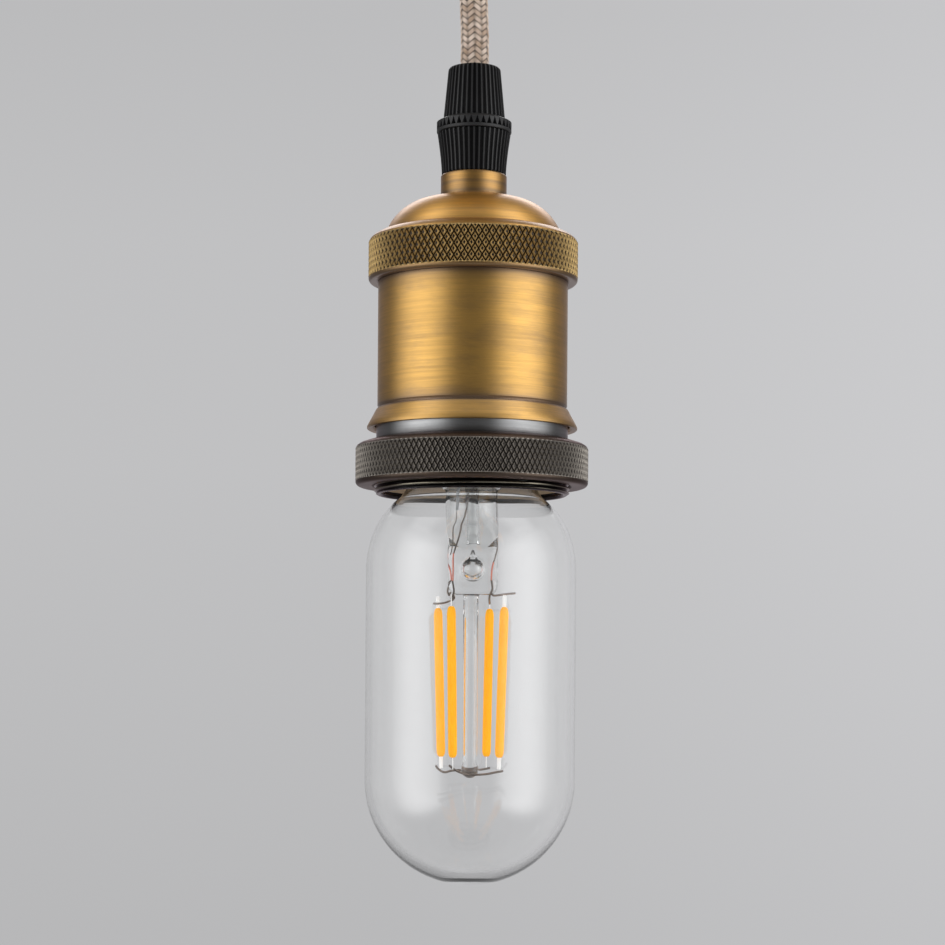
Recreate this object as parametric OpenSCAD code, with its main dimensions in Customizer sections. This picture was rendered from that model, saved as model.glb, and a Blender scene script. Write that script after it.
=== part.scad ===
// Pendant lamp: ceiling fitting, braided cord, brass lampholder and a tubular LED filament bulb.
// Millimetres, +Z up. The origin lies on the ceiling, on the lamp's axis.

/* [Ceiling fitting] */
// Radius of the canopy
canopy_r = 45; // [42:0.5:60]
// Height of the canopy
canopy_h = 25; // [24:0.5:32]
// Rounding of the canopy's lower edge
canopy_round = 9; // [4:0.5:12]
// Distance between the two ceiling holes
hole_spacing = 54; // [50:1:60]
// Radius of the ceiling holes
hole_r = 2.25; // [1.75:0.05:2.75]
// Length of a foot beyond its hole
foot_end = 10; // [6:0.5:12]
// Distance from a hole to the bracket's leg
leg_gap = 4.5; // [3.5:0.1:5]
// Width of the bracket
bracket_w = 18; // [14:1:24]
// Thickness of the bracket
bracket_t = 1.5; // [1:0.1:2]
// Length of the terminal block
block_len = 28; // [27:1:32]

/* [Cord] */
// Radius of the braided cord
cord_r = 3.05; // [2.8:0.05:3.1]
// Radius of each insulated wire
wire_r = 1; // [0.8:0.05:1.1]
// Room round the cord in the threaded nipples
cord_fit = 0.55; // [0.4:0.05:0.7]
// Wall of the threaded nipples
nipple_wall = 1.4; // [1.2:0.05:1.6]

/* [Cord grips] */
// Height of the ribbed cup
cup_h = 9; // [8:0.1:11]
// Reach of the cup's foot beyond the nipple
cup_foot_reach = 1.88; // [1.7:0.02:2.2]
// Reach of the cup's rim beyond the nipple
cup_rim_reach = 2.85; // [2.6:0.05:3.2]
// Height of the nut with its flange
nut_h = 14; // [13:0.1:16]
// Reach of the nut's flange beyond the nipple
flange_reach = 3; // [2.8:0.05:3.6]
// Height of the nut's flange with its chamfer
flange_h = 3; // [2.6:0.1:3.6]
// Reach of the nut's cone beyond the nipple, at its foot
cone_foot_reach = 1.6; // [1.5:0.05:2]
// Reach of the nut's cone beyond the nipple, at its top
cone_top_reach = 0.55; // [0.4:0.05:1]
// Number of ribs on the cup
cup_rib_count = 42; // [30:1:44]
// Number of ribs on the nut
nut_rib_count = 36; // [24:1:40]
// Depth of the ribs
rib_depth = 0.35; // [0.2:0.05:0.4]
// Width of a rib
rib_w = 0.45; // [0.35:0.05:0.55]
// Number of teeth on the flange
tooth_count = 38; // [30:1:42]
// Depth of the notches between the teeth, at their foot
tooth_depth = 0.6; // [0.3:0.05:0.7]
// Height of the smooth band under the teeth
band_h = 0.7; // [0.5:0.1:0.9]
// Height of the flange's slanted top
slant_h = 0.7; // [0.5:0.1:0.9]

/* [Cap] */
// Reach of the neck beyond the nipple
neck_reach = 2.05; // [1.8:0.05:2.5]
// Height of the neck
neck_h = 4.6; // [3:0.1:7]
// Inset of the dome from the collar's outside
dome_inset = 2.95; // [2.5:0.05:3.2]
// Height of the dome above the collar
dome_h = 7.9; // [7.5:0.1:8.6]
// Reach of the knurled collar beyond the shell
collar_reach = 2.1; // [1.8:0.1:3]
// Height of the collar
collar_h = 10.5; // [10:0.1:12]
// Wall of the cap and of the canopy
cap_wall = 1.2; // [1:0.05:1.4]

/* [Shell] */
// Height of the shell from its hem to the collar
shell_h = 31.4; // [30:0.1:36]
// Reach of the hem beyond the shell
hem_reach = 2.2; // [2:0.05:3]
// Height of the flare
flare_h = 4.6; // [4.4:0.1:5.4]
// Wall of the shell
shell_wall = 1; // [0.9:0.05:1.05]
// Length of the shell's threaded top in the collar
spigot_h = 5.6; // [4.8:0.1:5.8]

/* [Shade sleeve and ring] */
// Reach of the sleeve's smooth band beyond the shell
band_reach = 0.2; // [0.1:0.05:0.3]
// Height of the sleeve's thread over the band
thread_reach = 0.25; // [0.15:0.05:0.3]
// Length of the sleeve below the hem
sleeve_show = 14; // [13.5:0.1:16]
// Length of the thread, up from the rim
thread_len = 11.5; // [11:0.1:11.8]
// Wall of the sleeve at its rim
sleeve_wall = 1.1; // [0.9:0.05:1.15]
// Wall of the shade ring
ring_wall = 3.85; // [3:0.05:4.5]
// Wall of the sleeve's liner round the core
liner_wall = 0.9; // [0.7:0.05:1]
// Gap between the liner and the core
liner_gap = 0.5; // [0.4:0.05:0.8]
// Height of the shade ring
ring_h = 9.7; // [8.5:0.1:9.8]
// Gap between the hem and the shade ring
shade_gap = 2.5; // [2.3:0.1:3]

/* [Socket] */
// Wall of the ceramic core
core_wall = 3.8; // [3.4:0.1:4.2]
// Height of the ceramic core
core_h = 35; // [34:0.5:36]
// Gap between the bulb's base and the socket's screw shell
socket_fit = 0.4; // [0.35:0.05:0.5]
// Sheet thickness of the socket's screw shell
socket_t = 0.4; // [0.3:0.05:0.45]
// Width of the lock nuts across flats
nut_af = 14; // [13:0.5:14]
// Thickness of the lock nuts
lock_nut_t = 3; // [2.5:0.1:3.2]
// Thickness of the yoke
yoke_t = 1.2; // [1:0.1:1.4]
// Width of the yoke
yoke_w = 14; // [13:0.5:16]
// Height of the terminals
terminal_h = 6.5; // [6:0.1:7]
// Depth of the socket's screw shell in the core
socket_depth = 22.3; // [22:0.1:22.8]
// Gap over the bulb's contact for the contact leaf
contact_gap = 3.5; // [3.2:0.1:3.8]

/* [Bulb] */
// Radius of the glass
glass_r = 22.5; // [22:0.25:22.5]
// Overall length of the bulb
bulb_len = 113.5; // [113:0.5:116]
// Length of the bulb above the sleeve's rim
bulb_depth = 30.1; // [29.4:0.1:30.4]
// Height of the glass's shoulder, from the straight glass to the base
shoulder_h = 20.2; // [19.8:0.1:22]
// Wall of the glass
glass_wall = 1; // [0.8:0.05:1.2]
// Thickness of the glass at the bottom
bottom_wall = 2.8; // [1.5:0.1:4]
// Outer radius of the bulb's screw base
base_r = 12.6; // [12.5:0.05:12.65]
// Length of the bulb's base up to its contact
base_len = 26; // [25.5:0.1:26.5]
// Outer radius of the stem's tube
stem_r = 5.45; // [5:0.05:5.8]
// Length of the stem, from the base down to the pinch's lower edge
stem_len = 25.4; // [24:0.1:27]
// Height of the pinch
pinch_h = 9.9; // [9:0.1:11]
// Thickness of the pinch
pinch_t = 3.8; // [3:0.1:5]
// Radius of the exhaust tube inside the stem
exhaust_r = 1.7; // [1.3:0.05:1.8]
// Radius of the glass rod
rod_r = 1.6; // [1.2:0.05:2]
// Distance of the rod's foot below the filaments
foot_gap = 4.5; // [4:0.1:5.5]
// Length of a filament
filament_len = 32; // [30:0.5:33]
// Radius of a filament
filament_r = 0.95; // [0.6:0.05:1]
// Distance of the filaments' upper ends from the axis
filament_top_r = 8.2; // [7.5:0.1:9]
// Distance of the filaments' lower ends from the axis
filament_foot_r = 7.2; // [6.5:0.1:8]
// Gap between the pinch and the filaments' upper ends
filament_gap = 2.7; // [2.2:0.1:3.5]
// Turn of the filaments about the axis
filament_turn = 60; // [50:1:70]

/* [Hidden] */
$fn = 96;

// Clearance between turned pieces that move on each other
move_gap = 0.3;
// Clearance between a threaded pair drawn plain
thread_gap = 0.05;
// Clearance between faces that only meet
face_gap = 0.1;

// Small screws: radius, head radius, head height and the hole that one passes
screw_r = 1.5;
screw_head_r = 2.2;
screw_head_h = 1.6;
screw_hole_r = 1.6;
yoke_screw_len = 7;
earth_screw_len = 3;
small_screw_r = 1.25;
small_hole_r = 1.3;

// The free cord, from the lower grip at its end up to the upper grip at height 0
cord_route = [[0, 0, -60], [0, 0, -53], [-0.4, 0, -42], [-0.6, 0, -30], [-0.4, 0, -18], [0, 0, -7],
    [0, 0, 0]];
cord_free = -cord_route[0].z;

// Radii from the cord outwards
nipple_bore_r = cord_r + cord_fit;
nipple_r = nipple_bore_r + nipple_wall;
neck_r = nipple_r + neck_reach;
cup_foot_r = nipple_r + cup_foot_reach;
cup_rim_r = nipple_r + cup_rim_reach;
flange_r = nipple_r + flange_reach;
cone_foot_r = nipple_r + cone_foot_reach;
cone_top_r = nipple_r + cone_top_reach;
lock_nut_r = nut_af / sqrt(3) - 0.35;

// Radii from the bulb's base outwards
socket_r = base_r + socket_fit;
core_bore_r = socket_r + socket_t + 0.3;
core_r = core_bore_r + core_wall;
liner_bore_r = core_r + liner_gap;
liner_r = liner_bore_r + liner_wall;
shell_r = liner_r + 0.1 + move_gap + shell_wall;
hem_r = shell_r + hem_reach;
collar_r = shell_r + collar_reach;
dome_r = collar_r - dome_inset;
band_r = shell_r + band_reach;
thread_r = band_r + thread_reach;
ring_r = thread_r + move_gap + ring_wall;

// Levels from the ceiling down to the bulb
grip_h = cup_h + nut_h;
ceiling_nut_z = -canopy_h - grip_h;
lamp_nut_z = ceiling_nut_z - cord_free;
cup_z = lamp_nut_z - grip_h;
collar_z = cup_z - neck_h - dome_h - collar_h;
hem_z = collar_z - shell_h;
rim_z = hem_z - sleeve_show;
ring_z = hem_z - shade_gap - ring_h;
tip_z = rim_z + bulb_depth;
base_z = tip_z - base_len;
bulb_z = tip_z - bulb_len;

// Heights in the bulb, above its lowest point
base_level = bulb_len - base_len;
straight_top = base_level - shoulder_h;
pinch_z = base_level - stem_len;
pinch_top = pinch_z + pinch_h;
filament_z = pinch_z - filament_gap - filament_len;
foot_z = filament_z - foot_gap;
board_rise = 9;
board_z = base_level + board_rise;

// Inside of the cap
dome_round = dome_h + 3.1;
dome_mid = [dome_r - dome_round, collar_h + dome_h - 0.7 - dome_round];
seat_z = collar_z + dome_mid.y + dome_round - cap_wall;
collar_bore_r = shell_r - 0.3;
spigot_r = collar_bore_r - move_gap;

// Nuts and yoke under the cap's seat, the core under them
yoke_z = seat_z - lock_nut_t - yoke_t;
nipple_foot_z = yoke_z - lock_nut_t - 1;
nipple_top_z = cup_z + cup_h - 2.5;
sheath_z = nipple_foot_z - 1.5;
core_z = base_z + 1.5;
core_top_z = core_z + core_h;
pocket_z = tip_z + contact_gap;
shell_seat_z = core_z + socket_depth;
foot_screw_y = core_r - screw_head_r - 0.7;
leg_y = foot_screw_y - screw_head_r - yoke_t;
earth_z = yoke_z - 6;

// Ceiling fitting, inside of the canopy
bracket_len = hole_spacing + 2 * foot_end;
bracket_bay = hole_spacing - 2 * leg_gap - 2 * bracket_t;
canopy_floor_z = cap_wall - canopy_h;
plate_z = canopy_floor_z + lock_nut_t;
ceiling_nipple_top_z = plate_z + bracket_t + lock_nut_t + 1;
ceiling_sheath_z = ceiling_nipple_top_z + 1.5;
block_w = 9;
block_x = (lock_nut_r + bracket_bay / 2 - block_w) / 2;
block_h = 10;
block_pitch = 9;
block_entry = 4.5;
pole_r = 2.7;
block_z = plate_z + bracket_t;

// Sleeve and shell
sleeve_inner_r = band_r - sleeve_wall;
liner_foot_z = hem_z + 3;
liner_top_z = collar_z - 3.4;
ledge_z = liner_foot_z + 0.4;

function arc(mid, r, start, end, steps = 10) =
    [for (i = [0 : steps]) let (a = start + (end - start) * i / steps) mid + r * [cos(a), sin(a)]];

function oval(mid, rx, ry, start, end, steps = 10) =
    [for (i = [0 : steps]) let (a = start + (end - start) * i / steps) mid + [rx * cos(a), ry * sin(a)]];

function unit(v) = v / norm(v);

function heading(p, i) =
    i == 0 ? unit(p[1] - p[0])
    : i == len(p) - 1 ? unit(p[i] - p[i - 1])
    : unit(unit(p[i] - p[i - 1]) + unit(p[i + 1] - p[i]));

// Side directions of a tube's rings, carried along it without a twist
function sides_along(p, i = 0, last = [1, 0, 0]) =
    i == len(p) ? []
    : let (t = heading(p, i), s = unit(last - t * (last * t)))
        concat([[s, cross(t, s)]], sides_along(p, i + 1, s));

module tube(p, r, sides = 8, first = [1, 0, 0]) {
    frames = sides_along(p, 0, first);
    last = len(p) - 1;
    rings = [for (i = [0 : last]) for (k = [0 : sides - 1])
        p[i] + r * (cos(360 * k / sides) * frames[i][0] + sin(360 * k / sides) * frames[i][1])];
    walls = [for (i = [0 : last - 1]) for (k = [0 : sides - 1])
        let (a = i * sides + k, b = i * sides + (k + 1) % sides) [a, a + sides, b + sides, b]];
    ends = [[for (k = [0 : sides - 1]) k], [for (k = [sides - 1 : -1 : 0]) last * sides + k]];
    polyhedron(points = rings, faces = concat(ends, walls), convexity = 4);
}

module at_z(z) {
    translate([0, 0, z]) children();
}

module ring_of(count, r = 0) {
    for (i = [0 : count - 1])
        rotate([0, 0, 360 * i / count]) translate([r, 0, 0]) children();
}

// A turned body with ribs: the ribs are slabs of the outer profile, fused to the smaller inner body
module ribbed(outer, inner, count, width, reach, height) {
    rotate_extrude() polygon(inner);
    intersection() {
        rotate_extrude() polygon(outer);
        ring_of(count, nipple_r + 0.9) translate([0, -width / 2, 0]) cube([reach, width, height]);
    }
}

function cup_r(z, cut) = cup_foot_r - cut + (cup_rim_r - cup_foot_r) * pow(z / cup_h, 1.5);

function cup_profile(cut) = concat(
    [[nipple_r + thread_gap, 0]],
    [for (i = [0 : 6]) let (z = cup_h * i / 6) [cup_r(z, cut), z]],
    [[nipple_r + thread_gap, cup_h]]);

claw_r = nipple_r + 0.4;
claw_h = nut_h - 5.5;
claw_bore_r = cord_r + 0.35;

module cord_grip_cup() {
    color([0.05, 0.05, 0.055]) {
        ribbed(cup_profile(0), cup_profile(rib_depth), cup_rib_count, rib_w, 3, cup_h);
        difference() {
            rotate_extrude() polygon([[claw_bore_r, cup_h - 2.2], [nipple_r + 0.5, cup_h - 2.2],
                [nipple_r + 0.5, cup_h - 0.1], [claw_r, cup_h], [claw_r, cup_h + claw_h - 2],
                [claw_bore_r + 0.9, cup_h + claw_h], [claw_bore_r, cup_h + claw_h]]);
            ring_of(4) translate([0, -0.5, cup_h + 1]) cube([claw_r + 1, 1, claw_h]);
        }
    }
}

function nut_cone_r(z, cut) =
    cone_foot_r - cut + (cone_top_r - cone_foot_r) * (z - flange_h) / (nut_h - flange_h);

nut_inside = [[cord_r + 0.2, nut_h], [cord_r + 0.2, nut_h - 2.2], [claw_r + move_gap, claw_h],
    [claw_r + move_gap, 0]];

function nut_cone(cut) = concat(
    [[cone_foot_r - cut, flange_h - 0.4], [nut_cone_r(flange_h, cut), flange_h]],
    arc([nut_cone_r(nut_h, cut) - 0.6, nut_h - 0.6], 0.6, 5, 90, 4),
    [[claw_r + 0.1, nut_h - 0.01], [claw_r + 0.1, flange_h - 0.4]]);

// Notch between two teeth: deep and wide at its foot, it runs out at the slanted top
module notch() {
    height = flange_h - band_h - slant_h;
    half = 0.46 * 2 * PI * flange_r / tooth_count;
    rotate([0, atan(tooth_depth / height), 0]) at_z(-1) linear_extrude(height + 2)
        polygon([[-tooth_depth, 0], [tooth_depth, -2 * half], [tooth_depth, 2 * half]]);
}

module cord_grip_nut() {
    color([0.05, 0.05, 0.055]) {
        difference() {
            union() {
                rotate_extrude() polygon(concat([[cord_r + 0.2, 0], [flange_r - 0.5, 0], [flange_r, band_h],
                    [flange_r, flange_h - slant_h], [cone_foot_r, flange_h]],
                    [[nut_cone_r(flange_h, rib_depth), flange_h]],
                    arc([nut_cone_r(nut_h, rib_depth) - 0.5, nut_h - 0.5], 0.5, 5, 90, 4),
                    [[cord_r + 0.2, nut_h]]));
                intersection() {
                    rotate_extrude() polygon([[0, flange_h - 0.4], [cone_foot_r, flange_h - 0.4],
                        [cone_foot_r, flange_h], [cone_top_r, nut_h - 0.7],
                        [cone_top_r - 0.6, nut_h - 0.15], [0, nut_h - 0.15]]);
                    ring_of(nut_rib_count, cord_r + 1) translate([0, -rib_w / 2, 0])
                        cube([flange_r, rib_w, nut_h]);
                }
            }
            rotate_extrude() polygon(concat(nut_inside, [[0, 0], [0, nut_h]]));
            intersection() {
                ring_of(tooth_count, flange_r) at_z(band_h) notch();
                at_z(band_h) cylinder(r = flange_r + 1, h = flange_h);
            }
        }
    }
}

module threaded_nipple(top, foot) {
    color([0.72, 0.6, 0.35]) at_z(foot) difference() {
        cylinder(r = nipple_r, h = top - foot);
        at_z(-1) cylinder(r = nipple_bore_r, h = top - foot + 2);
    }
}

module lock_nut(z) {
    color([0.7, 0.6, 0.38]) at_z(z) difference() {
        intersection() {
            cylinder(r = nut_af / sqrt(3), h = lock_nut_t, $fn = 6);
            cylinder(r = lock_nut_r, h = lock_nut_t);
        }
        at_z(-1) cylinder(r = nipple_r + thread_gap, h = lock_nut_t + 2);
    }
}

// Pan head screw, head at z = 0 and up, shank down; driver slot in the head
module pan_screw(r, length, head_r, head_h) {
    color([0.75, 0.75, 0.76]) difference() {
        rotate_extrude() polygon(concat(
            [[0, -length], [r * 0.7, -length], [r, -length + 0.6], [r, 0], [head_r, 0],
            [head_r, head_h * 0.5]],
            arc([head_r - head_h * 0.5, head_h * 0.5], head_h * 0.5, 15, 90, 4),
            [[0, head_h]]));
        translate([-head_r - 1, -head_r * 0.12, head_h * 0.5])
            cube([2 * head_r + 2, head_r * 0.24, head_h]);
    }
}

// Ceiling fitting

module ceiling_bracket() {
    leg = -plate_z - bracket_t;
    color([0.78, 0.79, 0.8]) difference() {
        rotate([90, 0, 0]) linear_extrude(bracket_w, center = true) polygon([
            [-bracket_len / 2, 0], [-bracket_len / 2, -bracket_t],
            [-bracket_bay / 2 - bracket_t, -bracket_t], [-bracket_bay / 2 - bracket_t, plate_z],
            [bracket_bay / 2 + bracket_t, plate_z], [bracket_bay / 2 + bracket_t, -bracket_t],
            [bracket_len / 2, -bracket_t], [bracket_len / 2, 0], [bracket_bay / 2, 0],
            [bracket_bay / 2, -leg], [-bracket_bay / 2, -leg], [-bracket_bay / 2, 0]]);
        for (x = [-1, 1]) translate([x * hole_spacing / 2, 0, -bracket_t - 1])
            cylinder(r = hole_r, h = bracket_t + 2);
        at_z(plate_z - 1) cylinder(r = nipple_r + thread_gap, h = bracket_t + 2);
        translate([block_x + block_w / 2, block_pitch / 2, plate_z - 1])
            cylinder(r = 1.4, h = bracket_t + 2);
    }
}

module canopy() {
    inner_round = canopy_round - cap_wall;
    color([0.72, 0.52, 0.2]) rotate_extrude() polygon(concat(
        [[nipple_r + 0.15, -canopy_h], [canopy_r - canopy_round, -canopy_h]],
        arc([canopy_r - canopy_round, -canopy_h + canopy_round], canopy_round, -90, 0),
        [[canopy_r, 0], [canopy_r - cap_wall, 0]],
        arc([canopy_r - canopy_round, -canopy_h + canopy_round], inner_round, 0, -90),
        [[nipple_r + 0.15, canopy_floor_z]]));
}

module ceiling_nipple() {
    threaded_nipple(ceiling_nipple_top_z, -canopy_h - cup_h + 2.5);
}

module ceiling_lock_nuts() {
    lock_nut(canopy_floor_z);
    lock_nut(plate_z + bracket_t);
}

module ceiling_grip_cup() {
    at_z(-canopy_h) mirror([0, 0, 1]) cord_grip_cup();
}

module ceiling_grip_nut() {
    at_z(-canopy_h - cup_h) mirror([0, 0, 1]) cord_grip_nut();
}

module terminal_block() {
    mid_x = block_x + block_w / 2;
    color([0.93, 0.92, 0.88]) difference() {
        union() {
            translate([block_x, -block_len / 2, block_z]) cube([block_w, block_len, block_h - 2]);
            for (i = [-1 : 1]) translate([mid_x, i * block_pitch, block_z])
                cylinder(r = pole_r, h = block_h);
        }
        for (i = [-1 : 1]) {
            translate([block_x - 1, i * block_pitch, block_z + block_entry]) rotate([0, 90, 0])
                cylinder(r = wire_r + 0.25, h = block_w + 2);
            translate([mid_x, i * block_pitch, block_z + block_entry + 1.6]) cylinder(r = 1.9, h = block_h);
        }
        translate([mid_x, block_pitch / 2, block_z - 1]) cylinder(r = 1.4, h = block_h + 2);
    }
}

module terminal_block_screws() {
    for (i = [-1 : 1]) translate([block_x + block_w / 2, i * block_pitch, block_z + block_entry + 1.6])
        color([0.75, 0.65, 0.4]) difference() {
            cylinder(r = 1.75, h = 2.6);
            translate([-2, -0.25, 1.8]) cube([4, 0.5, 2]);
        }
}

module block_fixing_screw() {
    translate([block_x + block_w / 2, block_pitch / 2, block_z + block_h - 2])
        pan_screw(1.3, block_h - 1, 1.7, 1.2);
}

module ceiling_cord_end() {
    color([0.66, 0.55, 0.45]) at_z(ceiling_nut_z)
        cylinder(r = cord_r, h = ceiling_sheath_z - ceiling_nut_z);
}

// A wire from the end of the braid over into its hole in the block
module ceiling_wire(y, side) {
    z = block_z + block_entry;
    start = side > 0 ? [1.5, 0, ceiling_sheath_z] : [-0.9, sign(y) * 1.5, ceiling_sheath_z];
    rise = 3.6;
    steps = 8;
    over = [for (i = [1 : steps]) let (t = i / steps, turn = (1 - cos(180 * t)) / 2)
        [start.x + (block_x - 1.6 - start.x) * t, start.y + (y - start.y) * turn,
        ceiling_sheath_z + (z - ceiling_sheath_z) * t + rise * sin(180 * t)]];
    tube(concat([start, start + [0, 0, 1.4]], over, [[block_x + 2, y, z]]), wire_r, 8, [0, 1, 0]);
}

module ceiling_live_wire() {
    color([0.36, 0.2, 0.1]) ceiling_wire(-block_pitch, -1);
}

module ceiling_neutral_wire() {
    color([0.1, 0.3, 0.7]) ceiling_wire(block_pitch, -1);
}

module ceiling_earth_wire() {
    color([0.35, 0.6, 0.15]) ceiling_wire(0, 1);
}

// Cord and lower grip

module cord() {
    color([0.72, 0.6, 0.48]) tube([for (p = cord_route) p + [0, 0, ceiling_nut_z]], cord_r, 12);
}

module lamp_cord_end() {
    color([0.66, 0.55, 0.45]) at_z(sheath_z) cylinder(r = cord_r, h = lamp_nut_z - sheath_z);
}

module grip_cup() {
    at_z(cup_z) cord_grip_cup();
}

module grip_nut() {
    at_z(cup_z + cup_h) cord_grip_nut();
}

module nipple() {
    threaded_nipple(nipple_top_z, nipple_foot_z);
}

module lock_nuts() {
    lock_nut(seat_z - lock_nut_t);
    lock_nut(yoke_z - lock_nut_t);
}

module cap() {
    neck_foot = collar_h + dome_h;
    slope = 76;
    collar_in = asin((collar_h - dome_mid.y) / dome_round);
    color([0.72, 0.52, 0.2]) at_z(collar_z) rotate_extrude() polygon(concat(
        [[collar_bore_r, face_gap], [collar_r - 1.4, face_gap]],
        arc([collar_r - 1.2, 1.3], 1.2, -90, 0, 5),
        arc([collar_r - 1.4, collar_h - 3.2], 1.4, 0, 62, 5),
        arc(dome_mid, dome_round, collar_in, slope),
        [[neck_r, neck_foot], [neck_r, neck_foot + neck_h], [nipple_r + 0.15, neck_foot + neck_h],
        [nipple_r + 0.15, dome_mid.y + dome_round - cap_wall]],
        arc(dome_mid, dome_round - cap_wall, 90, 0),
        [[dome_r - cap_wall, spigot_h + 0.6], [collar_bore_r, spigot_h + 0.6]]));
}

module yoke() {
    top = yoke_z + yoke_t;
    foot = core_top_z + yoke_t;
    edge = foot_screw_y + 2.4;
    color([0.78, 0.79, 0.8]) difference() {
        intersection() {
            rotate([90, 0, 90]) linear_extrude(yoke_w, center = true) polygon([
                [-edge, core_top_z], [-edge, foot], [-leg_y - yoke_t, foot], [-leg_y - yoke_t, top],
                [leg_y + yoke_t, top], [leg_y + yoke_t, foot], [edge, foot], [edge, core_top_z],
                [leg_y, core_top_z], [leg_y, yoke_z], [-leg_y, yoke_z], [-leg_y, core_top_z]]);
            at_z(core_top_z - 1) cylinder(r = core_r, h = top - core_top_z + 2);
        }
        at_z(yoke_z - 1) cylinder(r = nipple_r + thread_gap, h = yoke_t + 2);
        for (y = [-1, 1]) translate([0, y * foot_screw_y, core_top_z - 1])
            cylinder(r = screw_hole_r, h = yoke_t + 2);
        translate([0, leg_y - 1, earth_z]) rotate([-90, 0, 0])
            cylinder(r = screw_hole_r, h = yoke_t + 3);
    }
}

module yoke_screws() {
    for (y = [-1, 1]) translate([0, y * foot_screw_y, core_top_z + yoke_t])
        pan_screw(screw_r, yoke_screw_len, screw_head_r, screw_head_h);
}

module earth_screw() {
    translate([0, leg_y, earth_z]) rotate([90, 0, 0])
        pan_screw(screw_r, earth_screw_len, screw_head_r, screw_head_h);
}

terminal_x = 9.5;
terminal_half_x = 4.2;
terminal_half_y = 3.5;
terminal_hole_z = core_top_z + 3.4;
contact_screw_x = 6.4;
wire_x = terminal_x + 2.1;
pocket_r = 8.5;
foot_step_h = 12;
contact_w = 5;
link_w = 4;
link_t = 0.6;
link_x = -terminal_x - 2.2;

module ceramic_core() {
    color([0.94, 0.93, 0.9]) difference() {
        rotate_extrude() polygon([[socket_r + 0.2, core_z], [core_r - 2.5, core_z],
            [core_r - 1.8, core_z + 0.8], [core_r - 1.8, core_z + foot_step_h],
            [core_r, core_z + foot_step_h + 2],
            [core_r, core_top_z - 0.8], [core_r - 0.8, core_top_z], [0, core_top_z],
            [0, pocket_z], [pocket_r, pocket_z], [pocket_r, shell_seat_z], [core_bore_r, shell_seat_z],
            [core_bore_r, core_z + 0.8], [socket_r + 0.2, core_z + 0.8]]);
        translate([contact_screw_x, 0, pocket_z - 1])
            cylinder(r = screw_hole_r, h = core_top_z - pocket_z + 2);
        translate([link_x - 0.2, -link_w / 2 - 0.3, shell_seat_z - 1])
            cube([link_t + 0.4, link_w + 0.6, core_top_z - shell_seat_z + 2]);
        for (y = [-1, 1]) translate([0, y * foot_screw_y, core_top_z - yoke_screw_len - 1])
            cylinder(r = screw_r + thread_gap, h = yoke_screw_len + 2);
    }
}

module socket_shell() {
    top = shell_seat_z - face_gap;
    lip = pocket_r + 0.3;
    color([0.78, 0.6, 0.3]) {
        rotate_extrude() polygon([[socket_r, core_z + 1], [socket_r + socket_t, core_z + 1],
            [socket_r + socket_t, top], [lip, top], [lip, top - socket_t], [socket_r, top - socket_t]]);
        translate([link_x, -link_w / 2, top - 0.2]) cube([link_t, link_w, core_top_z - top + 0.2]);
    }
}

// Leaf that presses on the bulb's contact
module centre_contact() {
    dip = pocket_z - tip_z - 0.15;
    color([0.8, 0.62, 0.3]) difference() {
        at_z(pocket_z) rotate([90, 0, 0]) linear_extrude(contact_w, center = true) polygon([
            [pocket_r - 0.5, -face_gap], [pocket_r - 0.5, -0.5], [contact_screw_x - 2.1, -0.5],
            [-0.4, -dip], [-3.4, -dip + 0.9], [-3.4, -dip + 1.35], [-0.6, -dip + 0.5],
            [contact_screw_x - 2.3, -face_gap]]);
        translate([contact_screw_x, 0, pocket_z - 2]) cylinder(r = small_hole_r, h = 4);
    }
}

module contact_screw() {
    translate([contact_screw_x, 0, pocket_z - 0.5]) rotate([180, 0, 0])
        pan_screw(small_screw_r, core_top_z - pocket_z + 2.2, screw_head_r - 0.4, screw_head_h - 0.5);
}

module terminals() {
    color([0.8, 0.66, 0.35]) for (s = [-1, 1]) difference() {
        translate([s * terminal_x - terminal_half_x, -terminal_half_y, core_top_z])
            cube([2 * terminal_half_x, 2 * terminal_half_y, terminal_h]);
        translate([s * wire_x, 0, core_top_z + 1.5]) cylinder(r = wire_r + 0.2, h = terminal_h);
        translate([s * wire_x, 0, terminal_hole_z]) rotate([0, s * 90, 0])
            cylinder(r = small_hole_r, h = terminal_half_x + 1);
        if (s > 0) translate([contact_screw_x, 0, core_top_z - 1]) cylinder(r = small_hole_r, h = 3);
    }
}

module terminal_screws() {
    length = terminal_x + terminal_half_x - wire_x - wire_r - 0.1;
    for (s = [-1, 1]) translate([s * (terminal_x + terminal_half_x), 0, terminal_hole_z])
        rotate([0, s * 90, 0]) pan_screw(small_screw_r, length, screw_head_r - 0.1, screw_head_h - 0.2);
}

// A wire from the end of the braid out over its terminal and down into it
function wire_route(start, reach, foot, steps = 6) =
    let (from = sheath_z - 0.8, to = core_top_z + terminal_h + wire_r + 0.7) concat(
        [[start, 0, sheath_z]],
        [for (i = [0 : steps]) let (t = i / steps)
            [start + (reach - start) * (1 - cos(180 * t)) / 2, 0, from + (to - from) * t]],
        [[reach, 0, foot]]);

module live_wire() {
    color([0.36, 0.2, 0.1]) tube(wire_route(1.6, wire_x, core_top_z + 2), wire_r, 8, [0, 1, 0]);
}

module neutral_wire() {
    color([0.1, 0.3, 0.7]) rotate([0, 0, 180])
        tube(wire_route(1.6, wire_x, core_top_z + 2), wire_r, 8, [0, 1, 0]);
}

module earth_wire() {
    color([0.35, 0.6, 0.15]) tube([[0, 1.7, sheath_z], [0, 1.7, sheath_z - 1], [0, 3.2, sheath_z - 2.3],
        [0, leg_y * 0.55, sheath_z - 1.4], [0, leg_y - screw_head_h - 2.3, earth_z - 0.8]],
        wire_r, 8, [1, 0, 0]);
}

// Shell, sleeve and shade ring

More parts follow.
